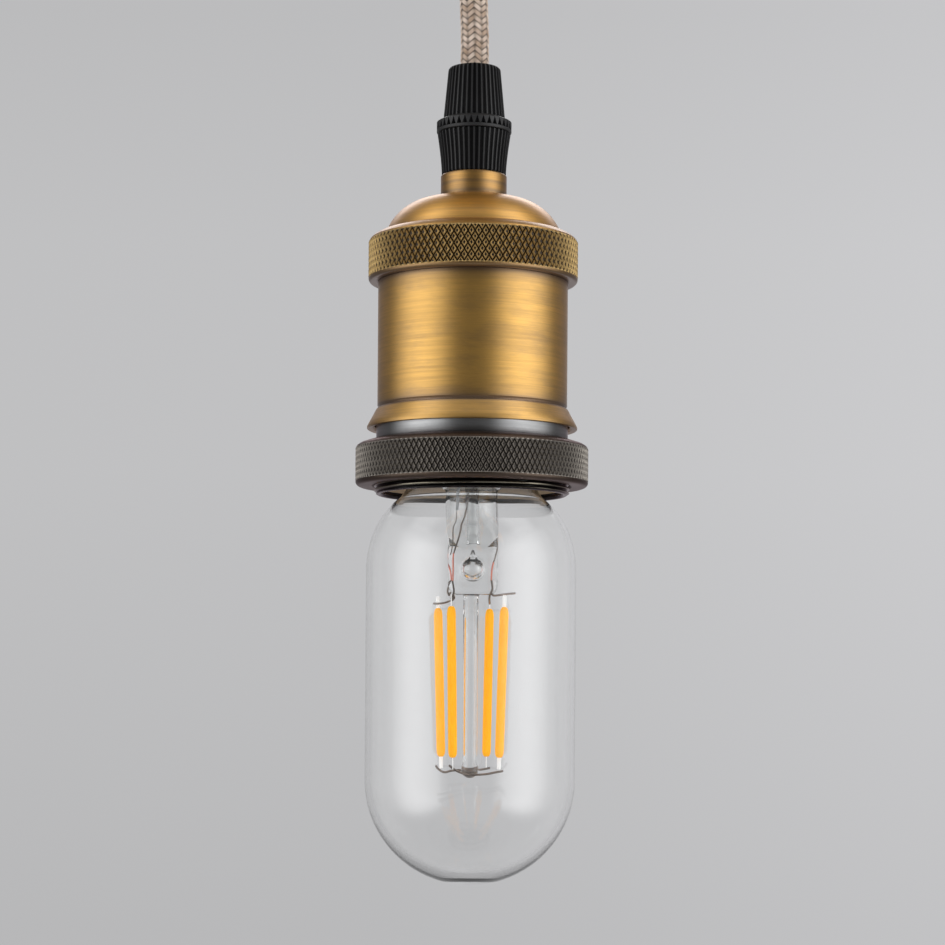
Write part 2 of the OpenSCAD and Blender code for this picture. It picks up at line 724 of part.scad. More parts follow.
module shell() {
    hem_in = band_r + move_gap + 0.15;
    inner = shell_r - shell_wall;
    groove = 0.3;
    color([0.72, 0.52, 0.2]) at_z(hem_z) rotate_extrude() polygon([
        [hem_in, 0.7], [hem_r - 0.25, 0], [hem_r, 0.15], [shell_r + 0.15, flare_h - 0.3],
        [shell_r - groove, flare_h - 0.2], [shell_r - groove, flare_h + 0.15], [shell_r, flare_h + 0.35],
        [shell_r, shell_h], [spigot_r, shell_h], [spigot_r, shell_h + spigot_h - 0.4],
        [spigot_r - 0.4, shell_h + spigot_h], [inner - 0.6, shell_h + spigot_h],
        [inner - 0.6, shell_h - 1.2], [inner, shell_h - 1.8], [inner, ledge_z - hem_z],
        [hem_in, ledge_z - hem_z]]);
}

module shade_sleeve() {
    color([0.1, 0.105, 0.12]) rotate_extrude() polygon([
        [sleeve_inner_r, rim_z], [thread_r - 0.5, rim_z], [thread_r, rim_z + 0.5],
        [thread_r, rim_z + thread_len - 0.3], [band_r, rim_z + thread_len], [band_r, liner_foot_z],
        [liner_r, liner_foot_z], [liner_r, liner_top_z], [liner_bore_r, liner_top_z],
        [liner_bore_r, liner_foot_z - 1.4], [sleeve_inner_r, liner_foot_z - 2.6]]);
}

module shade_ring() {
    bore = thread_r + move_gap;
    color([0.19, 0.15, 0.12]) at_z(ring_z) rotate_extrude() polygon(concat(
        [[bore, 0.5], [bore + 0.5, 0]],
        arc([ring_r - 1.3, 1.3], 1.3, -75, 0, 5),
        arc([ring_r - 1.4, ring_h - 2.2], 1.4, 0, 70, 5),
        [[bore, ring_h]]));
}

// Bulb, in heights above its lowest point

shoulder_mid = [8 * glass_r / 22.5, straight_top];
shoulder_rise = 17.9;
neck_glass_r = base_r - 1;

module glass_envelope() {
    hip = 30;
    inner_r = glass_r - glass_wall;
    color([0.85, 0.9, 0.92, 0.3]) at_z(bulb_z) rotate_extrude() polygon(concat(
        arc([0, glass_r], glass_r, -90, 0, 24),
        oval(shoulder_mid, glass_r - shoulder_mid.x, shoulder_rise, 0, 90 - hip, 14),
        [[base_r + 0.9, base_level - 1.6], [base_r, base_level - 0.2], [neck_glass_r, base_level - 0.2],
        [neck_glass_r, base_level + 5.5], [neck_glass_r - glass_wall, base_level + 5.5],
        [neck_glass_r - glass_wall, base_level - 1], [base_r - 0.3, base_level - 2.6]],
        oval(shoulder_mid, inner_r - shoulder_mid.x, shoulder_rise - glass_wall, 90 - hip - 2, 0, 14),
        arc([0, inner_r + bottom_wall], inner_r, 0, -90, 24)));
}

// Tube on the flat pinch, with the exhaust tube inside it: it opens through the bubble blown in the
// pinch and is sealed at its tip
module stem() {
    flare_r = neck_glass_r - glass_wall - 0.1;
    wall = 0.9;
    bubble_r = pinch_t / 2 + 1.2;
    bubble_at = [0.3, 0, pinch_z + 5.6];
    bore_r = exhaust_r - 0.6;
    tip_level = base_level + board_rise - 1.5;
    color([0.88, 0.93, 0.94, 0.4]) at_z(bulb_z) difference() {
        union() {
            rotate_extrude() polygon(concat(
                [[stem_r - wall, pinch_top + 2], [stem_r, pinch_top + 2]],
                arc([flare_r + 0.2, base_level - 1], flare_r + 0.2 - stem_r, 180, 100, 6),
                arc([flare_r + 0.2, base_level - 1], flare_r + 0.2 - stem_r + wall, 96, 180, 6)));
            hull() {
                at_z(pinch_top + 1.5) cylinder(r = stem_r, h = 0.6, $fn = 32);
                translate([-stem_r + 0.1, -pinch_t / 2, pinch_top - 2])
                    cube([2 * stem_r - 0.2, pinch_t, 0.5]);
            }
            translate([-stem_r + 0.1, -pinch_t / 2, pinch_z])
                cube([2 * stem_r - 0.2, pinch_t, pinch_top - pinch_z - 1.8]);
            translate(bubble_at) sphere(r = bubble_r);
            rotate_extrude() polygon(concat([[0, pinch_top], [exhaust_r, pinch_top]],
                oval([0, tip_level - 2.4], exhaust_r, 2.4, 0, 90, 6)));
        }
        translate(bubble_at) sphere(r = bubble_r - 0.9);
        translate(bubble_at) rotate([90, 0, 0]) cylinder(r = bore_r, h = bubble_r + 1);
        at_z(bubble_at.z) cylinder(r = bore_r, h = tip_level - 2.4 - bubble_at.z);
    }
}

rod_foot_r = rod_r + 0.3;

module glass_rod() {
    color([0.88, 0.93, 0.94, 0.4]) at_z(bulb_z) rotate_extrude() polygon(concat(
        arc([0, foot_z + rod_foot_r], rod_foot_r, -90, 0, 6),
        [[rod_r, foot_z + rod_foot_r + 1.5], [rod_r, pinch_z], [0, pinch_z]]));
}

// Slant of the filaments, and a place on the line of filament i at a height
lean = (filament_top_r - filament_foot_r) / filament_len;

function filament_point(i, z) =
    let (r = filament_foot_r + lean * (z - filament_z), a = filament_turn + 90 * i)
        [r * cos(a), r * sin(a), z];

// The coating thins out at both ends
module filament(i) {
    color([1, 0.72, 0.25]) at_z(bulb_z) rotate([0, 0, filament_turn + 90 * i])
        translate([filament_foot_r, 0, filament_z]) rotate([0, atan(lean), 0])
            rotate_extrude($fn = 32) polygon([[0, 0], [filament_r * 0.45, 0], [filament_r * 0.85, 0.9],
                [filament_r, 2], [filament_r, filament_len - 2], [filament_r * 0.85, filament_len - 0.9],
                [filament_r * 0.45, filament_len], [0, filament_len]]);
}

module filament_1() {
    filament(0);
}

module filament_2() {
    filament(1);
}

module filament_3() {
    filament(2);
}

module filament_4() {
    filament(3);
}

tab_len = 2.6;

// Flat metal tabs at both ends of each filament
module filament_tabs() {
    color([0.8, 0.78, 0.74]) at_z(bulb_z) for (i = [0 : 3]) rotate([0, 0, filament_turn + 90 * i])
        translate([filament_foot_r, 0, filament_z]) rotate([0, atan(lean), 0]) {
            translate([-0.15, -0.5, -tab_len]) cube([0.3, 1, tab_len]);
            translate([-0.15, -0.5, filament_len]) cube([0.3, 1, tab_len]);
        }
}

lead_r = 0.3;
hook_gap = lead_r + 0.2;

// Each lead comes down the stem, through the pinch and out to two filaments
module lead_wires() {
    top = filament_z + filament_len + tab_len - 0.6;
    color([0.6, 0.5, 0.45]) at_z(bulb_z) for (s = [-1, 1]) {
        first = filament_point(s > 0 ? 3 : 2, top);
        second = filament_point(s > 0 ? 0 : 1, top);
        tube([[s * 2.5, 0, board_z - 0.05], [s * 2.8, 0, pinch_top + 8], [s * 3.8, 0, pinch_top],
            [s * 4.1, 0, pinch_z + 3], [s * 4.3, 0, pinch_z - 0.8], first + [0, hook_gap * 1.4, 0.4]],
            lead_r, 6, [0, 1, 0]);
        tube([[s * 4.3, lead_r * 2.1, pinch_z - 0.4], [s * 4.5, lead_r * 4, pinch_z - 1.1],
            second + [0, -hook_gap * 1.4, 0.4]], lead_r, 6, [0, 0, 1]);
    }
}

// Wires from the rod's foot out to the filaments' lower tabs
module lower_support_wires() {
    color([0.6, 0.5, 0.45]) at_z(bulb_z) for (i = [0 : 3]) {
        a = filament_turn + 90 * i;
        out = [cos(a), sin(a), 0];
        tab = filament_point(i, filament_z - tab_len + 0.8) - out * (lead_r + 0.25);
        tube([out * (rod_foot_r + lead_r * 0.5) + [0, 0, foot_z + rod_foot_r],
            out * 4 + [0, 0, foot_z + 0.8], out * 5.6 + [0, 0, foot_z + 0.9],
            [tab.x, tab.y, foot_z + rod_foot_r], tab],
            lead_r, 6, [-sin(a), cos(a), 0]);
    }
}

base_shell_len = 18;
insulator_h = 4;
insulator_top_r = 6.5;
contact_r = 5.2;
cement_h = 5;

module base_shell() {
    color([0.8, 0.8, 0.78]) at_z(base_z) rotate_extrude() polygon([
        [base_r - 0.35, 0], [base_r, 0], [base_r, base_shell_len - 0.8], [base_r - 0.9, base_shell_len],
        [base_r - 1.3, base_shell_len], [base_r - 1.3, base_shell_len - 0.3],
        [base_r - 0.35, base_shell_len - 1.1]]);
}

module base_cement() {
    color([0.8, 0.78, 0.7]) at_z(base_z) rotate_extrude() polygon([
        [neck_glass_r + 0.05, 0.2], [base_r - 0.4, 0.2], [base_r - 0.4, cement_h],
        [neck_glass_r + 0.05, cement_h]]);
}

module base_insulator() {
    color([0.06, 0.06, 0.07]) at_z(base_z) rotate_extrude() polygon([
        [1, base_shell_len + 0.05], [base_r - 1, base_shell_len + 0.05],
        [base_r - 1.4, base_shell_len + 0.8], [insulator_top_r, base_shell_len + insulator_h],
        [1, base_shell_len + insulator_h]]);
}

module base_contact() {
    rise = base_len - base_shell_len - insulator_h;
    color([0.75, 0.75, 0.76]) at_z(base_z + base_shell_len + insulator_h) rotate_extrude() polygon(concat(
        [[0, 0.05], [contact_r, 0.05], [contact_r, rise * 0.45]],
        oval([0, rise * 0.45], contact_r - 0.6, rise * 0.55, 10, 90, 6)));
}

board_w = 18;
board_t = 1.2;
board_h = base_shell_len - board_rise - 1.4;

module driver_board() {
    color([0.1, 0.32, 0.16]) at_z(bulb_z + board_z)
        translate([-board_w / 2, -board_t / 2, 0]) cube([board_w, board_t, board_h]);
}

module driver_parts() {
    color([0.12, 0.12, 0.14]) at_z(bulb_z + board_z) {
        translate([-5, 3.2, 3.8]) rotate([0, 90, 0]) cylinder(r = 2.5, h = 7);
        translate([4, 0.7, 1.5]) cube([3.5, 2.2, 4]);
        translate([-6, -2.4, 2]) cube([4, 1.7, 3.5]);
        translate([1, -2.9, 2]) cube([5, 2.2, 4]);
    }
}

ceiling_bracket();
canopy();
ceiling_nipple();
ceiling_lock_nuts();
ceiling_grip_cup();
ceiling_grip_nut();
terminal_block();
terminal_block_screws();
block_fixing_screw();
ceiling_cord_end();
ceiling_live_wire();
ceiling_neutral_wire();
ceiling_earth_wire();
cord();
lamp_cord_end();
grip_cup();
grip_nut();
nipple();
lock_nuts();
cap();
yoke();
yoke_screws();
earth_screw();
ceramic_core();
socket_shell();
centre_contact();
contact_screw();
terminals();
terminal_screws();
live_wire();
neutral_wire();
earth_wire();
shade_sleeve();
shell();
shade_ring();
base_contact();
base_insulator();
base_shell();
base_cement();
glass_envelope();
stem();
glass_rod();
lead_wires();
filament_1();
filament_2();
filament_3();
filament_4();
filament_tabs();
lower_support_wires();
driver_board();
driver_parts();
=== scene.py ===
import math

import bpy
import numpy as np
from mathutils import Matrix, Vector


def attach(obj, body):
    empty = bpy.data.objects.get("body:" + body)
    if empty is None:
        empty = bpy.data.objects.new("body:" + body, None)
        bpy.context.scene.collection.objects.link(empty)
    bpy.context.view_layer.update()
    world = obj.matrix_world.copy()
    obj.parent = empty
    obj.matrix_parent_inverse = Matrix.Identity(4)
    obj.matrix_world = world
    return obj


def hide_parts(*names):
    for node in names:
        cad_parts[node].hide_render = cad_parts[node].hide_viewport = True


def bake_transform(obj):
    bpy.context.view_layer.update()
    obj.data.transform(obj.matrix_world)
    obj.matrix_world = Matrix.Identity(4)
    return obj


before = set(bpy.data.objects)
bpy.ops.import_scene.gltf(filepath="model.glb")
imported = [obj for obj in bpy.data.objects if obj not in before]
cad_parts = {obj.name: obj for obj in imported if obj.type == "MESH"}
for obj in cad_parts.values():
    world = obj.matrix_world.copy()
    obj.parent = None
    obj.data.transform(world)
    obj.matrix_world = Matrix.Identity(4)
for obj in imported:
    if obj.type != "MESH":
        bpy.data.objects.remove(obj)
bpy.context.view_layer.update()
scene = bpy.context.scene
MM = 0.001
TAU = 2 * math.pi
LOWEST = -282.8  # the bulb's lowest point in the frame, in millimetres


def level(h):
    """Height above the bulb's lowest point, in the frame's millimetres."""
    return h + LOWEST


# Camera: level, at the height of the lower part of the glass, with the picture shifted up

PICTURE = 945  # pixels along each side
HORIZON = 704  # pixels from the top of the picture
SENSOR = 36
LENS = 94.1
DISTANCE = 529  # millimetres from the camera to the lamp's axis
ASIDE = 0.5  # millimetres
EYE = 38.76  # millimetres above the bulb's lowest point
TILT = math.radians(0.4)

cam_data = bpy.data.cameras.new("camera")
cam_data.sensor_width = SENSOR
cam_data.lens = LENS
cam_data.shift_y = 0.245
cam_data.clip_start = 0.01
camera = bpy.data.objects.new("camera", cam_data)
scene.collection.objects.link(camera)
camera.matrix_world = (
    Matrix.Translation((ASIDE * MM, -DISTANCE * MM, level(EYE) * MM))
    @ Matrix.Rotation(math.radians(90), 4, "X")
    @ Matrix.Rotation(TILT, 4, "Z")
)
scene.camera = camera


# Nodes

looks = {}


def material(name):
    """The shader and the node tree of a new material, which looks keeps under its name."""
    made = bpy.data.materials.new(name)
    made.use_nodes = True
    looks[name] = made
    return made.node_tree.nodes["Principled BSDF"], made.node_tree


def feed(tree, socket, value):
    """Gives an input a value, or links the output of another node to it."""
    if isinstance(value, bpy.types.NodeSocket):
        tree.links.new(value, socket)
    else:
        socket.default_value = value


def fill(tree, made, values):
    """Feeds inputs of a node by their names."""
    for key, value in values.items():
        feed(tree, made.inputs[key], value)


def node(tree, kind, **values):
    """A new node with the given inputs and settings."""
    made = tree.nodes.new(kind)
    for key, value in values.items():
        if key in made.inputs:
            feed(tree, made.inputs[key], value)
        else:
            setattr(made, key, value)
    return made


def joined(made, *sources):
    """The first output of a node whose inputs are fed in their order."""
    for socket, value in zip(made.inputs, sources):
        feed(made.id_data, socket, value)
    return made.outputs[0]


def coordinate(tree, kind="Object"):
    return node(tree, "ShaderNodeTexCoord").outputs[kind]


def axes(tree, vector):
    """The X, Y and Z outputs of a vector."""
    return node(tree, "ShaderNodeSeparateXYZ", Vector=vector).outputs


def stretched_noise(tree, scale, detail, roughness):
    """Noise in the row frame, in metres, with its own scale along each axis."""
    mapping = node(tree, "ShaderNodeMapping", Vector=coordinate(tree), Scale=scale)
    return node(tree, "ShaderNodeTexNoise", Vector=mapping.outputs["Vector"], Scale=1.0, Detail=detail,
                Roughness=roughness).outputs["Fac"]


def ramp(tree, source, stops, interpolation="LINEAR"):
    """The tone or colour of each (place, value) stop, and what lies between them."""
    made = node(tree, "ShaderNodeValToRGB", Fac=source)
    made.color_ramp.interpolation = interpolation
    slots = made.color_ramp.elements
    while len(slots) < len(stops):
        slots.new(0.5)
    for slot, (place, value) in zip(slots, stops):
        tone = (value, value, value) if isinstance(value, (int, float)) else value
        slot.position = place
        slot.color = (*tone, 1)
    return made.outputs["Color"]


def mix(tree, factor, first, second, kind="MIX"):
    """Two colours mixed. The node's inputs 0, 6 and 7 are the factor and the colours."""
    made = node(tree, "ShaderNodeMix", data_type="RGBA", blend_type=kind)
    for index, value in ((0, factor), (6, first), (7, second)):
        feed(tree, made.inputs[index], (*value, 1) if isinstance(value, tuple) else value)
    return made.outputs[2]


def product(tree, first, second):
    return mix(tree, 1.0, first, second, "MULTIPLY")


def bump(tree, shader, source, strength, distance):
    made = node(tree, "ShaderNodeBump", Strength=strength, Distance=distance, Height=source)
    feed(tree, shader.inputs["Normal"], made.outputs["Normal"])


def span(tree, source, low, high):
    """A value from 0 to 1 while the source goes from low to high."""
    made = node(tree, "ShaderNodeMapRange", Value=source)
    fill(tree, made, {"From Min": low, "From Max": high})
    return made.outputs["Result"]


def height_and_radius(tree):
    """Height and distance from the axis of the point that is shaded, in metres."""
    point = coordinate(tree)
    flat = joined(node(tree, "ShaderNodeVectorMath", operation="MULTIPLY"), point, (1, 1, 0))
    length = node(tree, "ShaderNodeVectorMath", operation="LENGTH", Vector=flat)
    return axes(tree, point)["Z"], length.outputs["Value"]


# Materials


def brushed(name, worn, dark, rough=(0.38, 0.5), bands=(), coat=1.0, radii=None, streak=0.76):
    """Metal brushed round the Z axis, with dark patina.

    bands gives (height above the bulb's lowest point, share of the dark colour) pairs: bands of patina and of
    painted shade.
    radii is for a rim with cuts in it: its lowest and highest radius, the colour in the cuts, which is
    patina on a knurl and painted shade in the roots of a thread, the place between the radii where that
    colour starts to fade, and its share on the very tops.
    """
    shader, tree = material(name)
    lines = stretched_noise(tree, (38, 38, 2100), 5, 0.72)
    cloud = stretched_noise(tree, (90, 90, 300), 4, 0.6)
    fine = stretched_noise(tree, (180, 180, 9000), 3, 0.7)
    streaks = ramp(tree, lines, [(0.34, 0.0), (0.66, 1.0)])
    colour = mix(tree, streaks, tuple(streak * c for c in worn), worn)
    colour = mix(tree, ramp(tree, cloud, [(0.45, 0.0), (0.8, 0.4)]), colour, dark)
    height, radius = height_and_radius(tree)
    if bands:
        low, high = bands[0][0], bands[-1][0]
        at = span(tree, height, level(low) * MM, level(high) * MM)
        stops = [((h - low) / (high - low), share) for h, share in bands]
        colour = mix(tree, ramp(tree, at, stops), colour, dark)
    if radii:
        low, high, deep, root, top = radii
        stops = [(0.0, 1.0), (root, 0.9), (root + 0.25, 0.05), (0.95, 0.0), (0.98, top)]
        share = ramp(tree, span(tree, radius, low * MM, high * MM), stops)
        colour = mix(tree, share, colour, deep)
    fill(tree, shader, {
        "Base Color": colour,
        "Metallic": 1.0,
        "Roughness": ramp(tree, lines, [(0.3, rough[1]), (0.7, rough[0])]),
        "Anisotropic": 0.4,
        "Anisotropic Rotation": 0.25,
        "Tangent": node(tree, "ShaderNodeTangent", direction_type="RADIAL", axis="Z").outputs["Tangent"],
        "Coat Weight": coat,
        "Coat Roughness": 0.34,
        "Coat IOR": 1.6,
        "Specular Tint": (0.86, 0.74, 0.78, 1),
    })
    bump(tree, shader, fine, 0.16, 0.00006)


def plain_metal(name, colour, rough, stain, amount, grain=900):
    """Metal with faint stains. amount is the largest share of the stain's colour."""
    shader, tree = material(name)
    spots = stretched_noise(tree, (grain, grain, grain), 4, 0.6)
    cloud = stretched_noise(tree, (140, 140, 140), 3, 0.5)
    fill(tree, shader, {
        "Base Color": mix(tree, ramp(tree, cloud, [(0.4, 0.0), (0.8, amount)]), colour, stain),
        "Metallic": 1.0,
        "Roughness": ramp(tree, spots, [(0.3, rough * 0.75), (0.7, min(1.0, rough * 1.35))]),
    })
    bump(tree, shader, spots, 0.12, 0.00005)


def dull(name, colour, rough, vary=0.25, grain=1400, lift=0.15, distance=0.00004, specular=0.5, painted_light=0.0):
    """A surface that isn't metal. vary is how much darker its colour gets in places."""
    shader, tree = material(name)
    spots = stretched_noise(tree, (grain, grain, grain), 4, 0.6)
    cloud = stretched_noise(tree, (110, 110, 110), 3, 0.5)
    darker = tuple(x * (1 - vary) for x in colour)
    fill(tree, shader, {
        "Base Color": mix(tree, ramp(tree, cloud, [(0.35, 0.0), (0.7, 1.0)]), darker, colour),
        "Roughness": ramp(tree, spots, [(0.3, rough * 0.85), (0.7, min(1.0, rough * 1.2))]),
        "Specular IOR Level": specular,
    })
    # A glow is painted light: it brightens a part that is no lamp.
    if painted_light:
        fill(tree, shader, {"Emission Color": (1.0, 1.0, 0.98, 1), "Emission Strength": painted_light})
    bump(tree, shader, spots, lift, distance)


def glass(name, tint, ior, lift):
    shader, tree = material(name)
    waves = stretched_noise(tree, (60, 60, 25), 2, 0.4)
    colour = mix(tree, waves, tint, tuple(min(1.0, x * 1.01) for x in tint))
    fill(tree, shader, {"Base Color": colour, "Transmission Weight": 1.0, "IOR": ior, "Roughness": 0.0})
    bump(tree, shader, waves, lift, 0.0004)


def phosphor(name, dark, light):
    """The coating of a filament, which gives off a little light of its own."""
    shader, tree = material(name)
    cloud = stretched_noise(tree, (700, 700, 260), 3, 0.6)
    grain = stretched_noise(tree, (5200, 5200, 5200), 3, 0.6)
    fill(tree, shader, {
        "Base Color": mix(tree, ramp(tree, cloud, [(0.35, 0.0), (0.7, 1.0)]), dark, light),
        "Roughness": ramp(tree, grain, [(0.3, 0.5), (0.7, 0.72)]),
        "Specular IOR Level": 0.1,
        "Subsurface Weight": 0.25,
        "Subsurface Radius": (1.0, 0.5, 0.1),
        "Subsurface Scale": 0.0004,
        "Emission Color": (*light, 1),
        "Emission Strength": 0.3,
    })
    bump(tree, shader, grain, 0.2, 0.00004)


def woven(name):
    """Yarn of the braid. The mesh says which strands are lighter, and how much painted shade each point takes
    where it lies deep or underneath.
    """
    shader, tree = material(name)
    ply = stretched_noise(tree, (2600, 2600, 1500), 4, 0.7)
    patch = stretched_noise(tree, (300, 300, 300), 3, 0.6)
    twist = ramp(tree, ply, [(0.3, 0.0), (0.68, 1.0)])
    colour = mix(tree, twist, (0.4, 0.275, 0.185), (0.66, 0.49, 0.37))
    colour = mix(tree, ramp(tree, patch, [(0.45, 0.0), (0.7, 0.4)]), colour, (0.4, 0.27, 0.165))
    # The second attribute is painted shade: it darkens the yarn nearly to black where strands lie under
    # others and between plies.
    for attribute, tone in (("light", (0.87, 0.73, 0.62)), ("dip", (0.03, 0.02, 0.014))):
        share = node(tree, "ShaderNodeAttribute", attribute_name=attribute).outputs["Fac"]
        colour = mix(tree, share, colour, tone)
    fill(tree, shader, {
        "Base Color": colour,
        "Roughness": 0.82,
        "Sheen Weight": 0.3,
        "Sheen Roughness": 0.45,
    })
    bump(tree, shader, ply, 0.6, 0.00012)


BRASS_DARK = (0.15, 0.098, 0.07)
# The shell's bands: partly patina, partly painted shade under the collar and in the groove.
brushed("brass_shell", (0.765, 0.43, 0.085), BRASS_DARK,
        bands=[(97.3, 0.5), (98.0, 0.05), (101.2, 0.05), (101.75, 0.9), (102.3, 0.8), (103.0, 0.35),
               (104.5, 0.12), (107, 0.0), (125.8, 0.0), (127.6, 0.35), (128.8, 0.85)])
# The cap is darker in bands: at the collar's lower lip, at its top edge, and from the dome's top along the
# neck up to the grip.
brushed("brass_cap", (0.77, 0.4, 0.055), (0.11, 0.07, 0.045),
        bands=[(128.7, 0.9), (129.5, 0.6), (130.0, 0.3), (138.9, 0.3), (140.2, 0.0), (145.6, 0.08),
               (147.0, 0.5), (147.6, 0.75), (148.3, 0.25), (149.0, 0.22), (149.5, 0.6), (150.0, 0.3),
               (150.9, 0.2), (151.8, 0.5)])
brushed("brass_knurl", (0.64, 0.45, 0.19), (0.36, 0.25, 0.12), rough=(0.5, 0.6), coat=0.15,
        radii=(21.85, 22.4, (0.04, 0.03, 0.022), 0.2, 1.0))
brushed("brass_canopy", (0.76, 0.41, 0.06), BRASS_DARK)
brushed("bronze", (0.105, 0.074, 0.055), (0.032, 0.023, 0.019), rough=(0.36, 0.48), coat=0.2)
brushed("bronze_knurl", (0.38, 0.35, 0.31), (0.22, 0.19, 0.165), rough=(0.46, 0.56), coat=0.15,
        radii=(24.45, 24.9, (0.055, 0.048, 0.043), 0.25, 1.0))
brushed("dark_sleeve", (0.42, 0.425, 0.43), (0.14, 0.14, 0.145), rough=(0.28, 0.38), coat=0.4, streak=0.8)
# The thread's roots, and anything narrower, are painted near black: painted shade in its grooves.
brushed("thread_black", (0.26, 0.235, 0.18), (0.12, 0.11, 0.09), rough=(0.2, 0.28), coat=0.2, streak=0.8,
        radii=(20.5, 20.95, (0.006, 0.006, 0.006), 0.4, 0.0))
dull("sleeve_inside", (0.6, 0.45, 0.3), 0.42, 0.2, 700, 0.1)
# The first of these two plastics is a darker copy of the second, and also paints shade in the grip's valleys
# and notches.
dull("black_plastic", (0.004, 0.004, 0.0045), 0.6, 0.3, 2600, 0.2, 0.00005, 0.12)
dull("plastic_rib", (0.019, 0.019, 0.02), 0.46, 0.3, 2600, 0.25, 0.00005, 0.45)
dull("white_plastic", (0.78, 0.77, 0.73), 0.4)
dull("ceramic", (0.82, 0.8, 0.74), 0.35, 0.12, 500, 0.1)
dull("brown_wire", (0.13, 0.055, 0.025), 0.4)
dull("blue_wire", (0.03, 0.1, 0.42), 0.4)
dull("green_wire", (0.11, 0.34, 0.05), 0.4)
# The filament ends glow a little: painted light that brightens the tabs.
dull("filament_tab", (0.95, 0.95, 0.93), 0.3, 0.06, 3000, 0.1, painted_light=0.22)
dull("sleeving", (0.42, 0.44, 0.47), 0.5)
dull("black_glass", (0.008, 0.008, 0.012), 0.12, 0.2, 900, 0.05)
dull("cement", (0.6, 0.56, 0.45), 0.8, 0.35, 2200, 0.5, 0.0001)
dull("board", (0.02, 0.14, 0.05), 0.35)
dull("driver_black", (0.02, 0.02, 0.024), 0.4)
# The cord's core is painted near black: painted shade that shows in the gaps of the braid.
dull("braid_core", (0.03, 0.022, 0.017), 0.9)
plain_metal("galvanised", (0.62, 0.64, 0.66), 0.38, (0.34, 0.36, 0.38), 0.7, 260)
plain_metal("plain_brass", (0.72, 0.52, 0.2), 0.3, (0.3, 0.19, 0.08), 0.5)
plain_metal("zinc", (0.66, 0.67, 0.68), 0.28, (0.4, 0.4, 0.38), 0.4)
plain_metal("tinned", (0.7, 0.69, 0.66), 0.25, (0.35, 0.33, 0.3), 0.5)
plain_metal("nickel", (0.74, 0.72, 0.68), 0.2, (0.45, 0.42, 0.36), 0.4)
plain_metal("dark_wire", (0.2, 0.165, 0.14), 0.38, (0.08, 0.06, 0.05), 0.6, 3000)
plain_metal("red_wire", (0.72, 0.24, 0.17), 0.35, (0.5, 0.14, 0.1), 0.5, 3000)
glass("clear_glass", (0.996, 0.999, 0.998), 1.47, 0.02)
glass("stem_glass", (0.955, 0.962, 0.96), 1.52, 0.05)
phosphor("phosphor_gold", (0.98, 0.4, 0.0), (1.0, 0.46, 0.001))
phosphor("phosphor_orange", (0.98, 0.4, 0.0), (1.0, 0.46, 0.004))
woven("braid")


# Mesh helpers, in millimetres


def build(name, verts, faces, materials, body, smooth=True, angle=35, replaces=(), slot=None, indices=None):
    """A mesh object in metres. Edges sharper than angle degrees stay sharp."""
    mesh = bpy.data.meshes.new(name)
    points = [tuple(float(x) * MM for x in v) for v in verts]
    mesh.from_pydata(points, [], [tuple(int(i) for i in f) for f in faces])
    for one in materials:
        mesh.materials.append(looks[one])
    if indices is not None:
        mesh.polygons.foreach_set("material_index", np.asarray(indices, np.int32))
    mesh.polygons.foreach_set("use_smooth", [smooth] * len(mesh.polygons))
    mesh.update()
    if smooth and angle:
        mesh.set_sharp_from_angle(angle=math.radians(angle))
    ob = bpy.data.objects.new(name, mesh)
    scene.collection.objects.link(ob)
    if body:
        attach(ob, body)
    if replaces:
        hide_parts(*replaces)
    return ob


class Parts:
    """Several surfaces gathered into one mesh, each in its own material or one for each face."""

    def __init__(self):
        self.verts, self.faces, self.materials = [], [], []

    def add(self, verts, faces, material):
        n = len(self.verts)
        self.verts.extend(verts)
        self.faces.extend([tuple(i + n for i in f) for f in faces])
        self.materials.extend([material] * len(faces) if isinstance(material, str) else material)

    def piece(self, name, materials, body, **more):
        indices = [materials.index(one) for one in self.materials]
        return build(name, self.verts, self.faces, materials, body, indices=indices, **more)


def polar(r, a, z):
    """A point at radius r and angle a round the Z axis."""
    return (r * math.cos(a), r * math.sin(a), z)


def grid(rows, caps=False):
    """Faces between rings of points, each a list of the same length.

    The outside is where the rings turn left and the rows go up.
    """
    n = len(rows[0])
    verts = [p for row in rows for p in row]
    faces = []
    for i in range(len(rows) - 1):
        for k in range(n):
            a, b = i * n + k, i * n + (k + 1) % n
            faces.append((a, b, b + n, a + n))
    if caps:
        faces.append(tuple(range(n - 1, -1, -1)))
        faces.append(tuple((len(rows) - 1) * n + k for k in range(n)))
    return verts, faces


def turned(profile, n=192):
    """Surface of revolution of (radius, z) points. Points on the axis become one vertex."""
    verts, faces, rings = [], [], []
    for r, z in profile:
        if r < 1e-6:
            rings.append([len(verts)])
            verts.append((0, 0, z))
        else:
            rings.append(list(range(len(verts), len(verts) + n)))
            verts.extend(polar(r, TAU * k / n, z) for k in range(n))
    for a, b in zip(rings, rings[1:]):
        for k in range(n):
            corners = [a[k % len(a)], a[(k + 1) % len(a)], b[(k + 1) % len(b)], b[k % len(b)]]
            corners = [x for i, x in enumerate(corners) if x != corners[i - 1]]
            if len(corners) > 2:
                faces.append(tuple(corners))
    return verts, faces


def raised(profile, n=192):
    """A turned surface of (radius, height) points, heights above the bulb's lowest point."""
    return turned([(r, level(h)) for r, h in profile], n)


def shaped(radius, heights, n=120):
    """A turned surface whose radius is a function of angle and z."""
    angles = [TAU * k / n for k in range(n)]
    return grid([[polar(radius(a, z), a, z) for a in angles] for z in heights])


def arc(x, z, r, first, last, steps, rz=None):
    """Points from one angle to another, in degrees, on a circle or on an ellipse of half height rz."""
    rz = r if rz is None else rz
    angles = [math.radians(first + (last - first) * i / steps) for i in range(steps + 1)]
    return [(x + r * math.cos(a), z + rz * math.sin(a)) for a in angles]


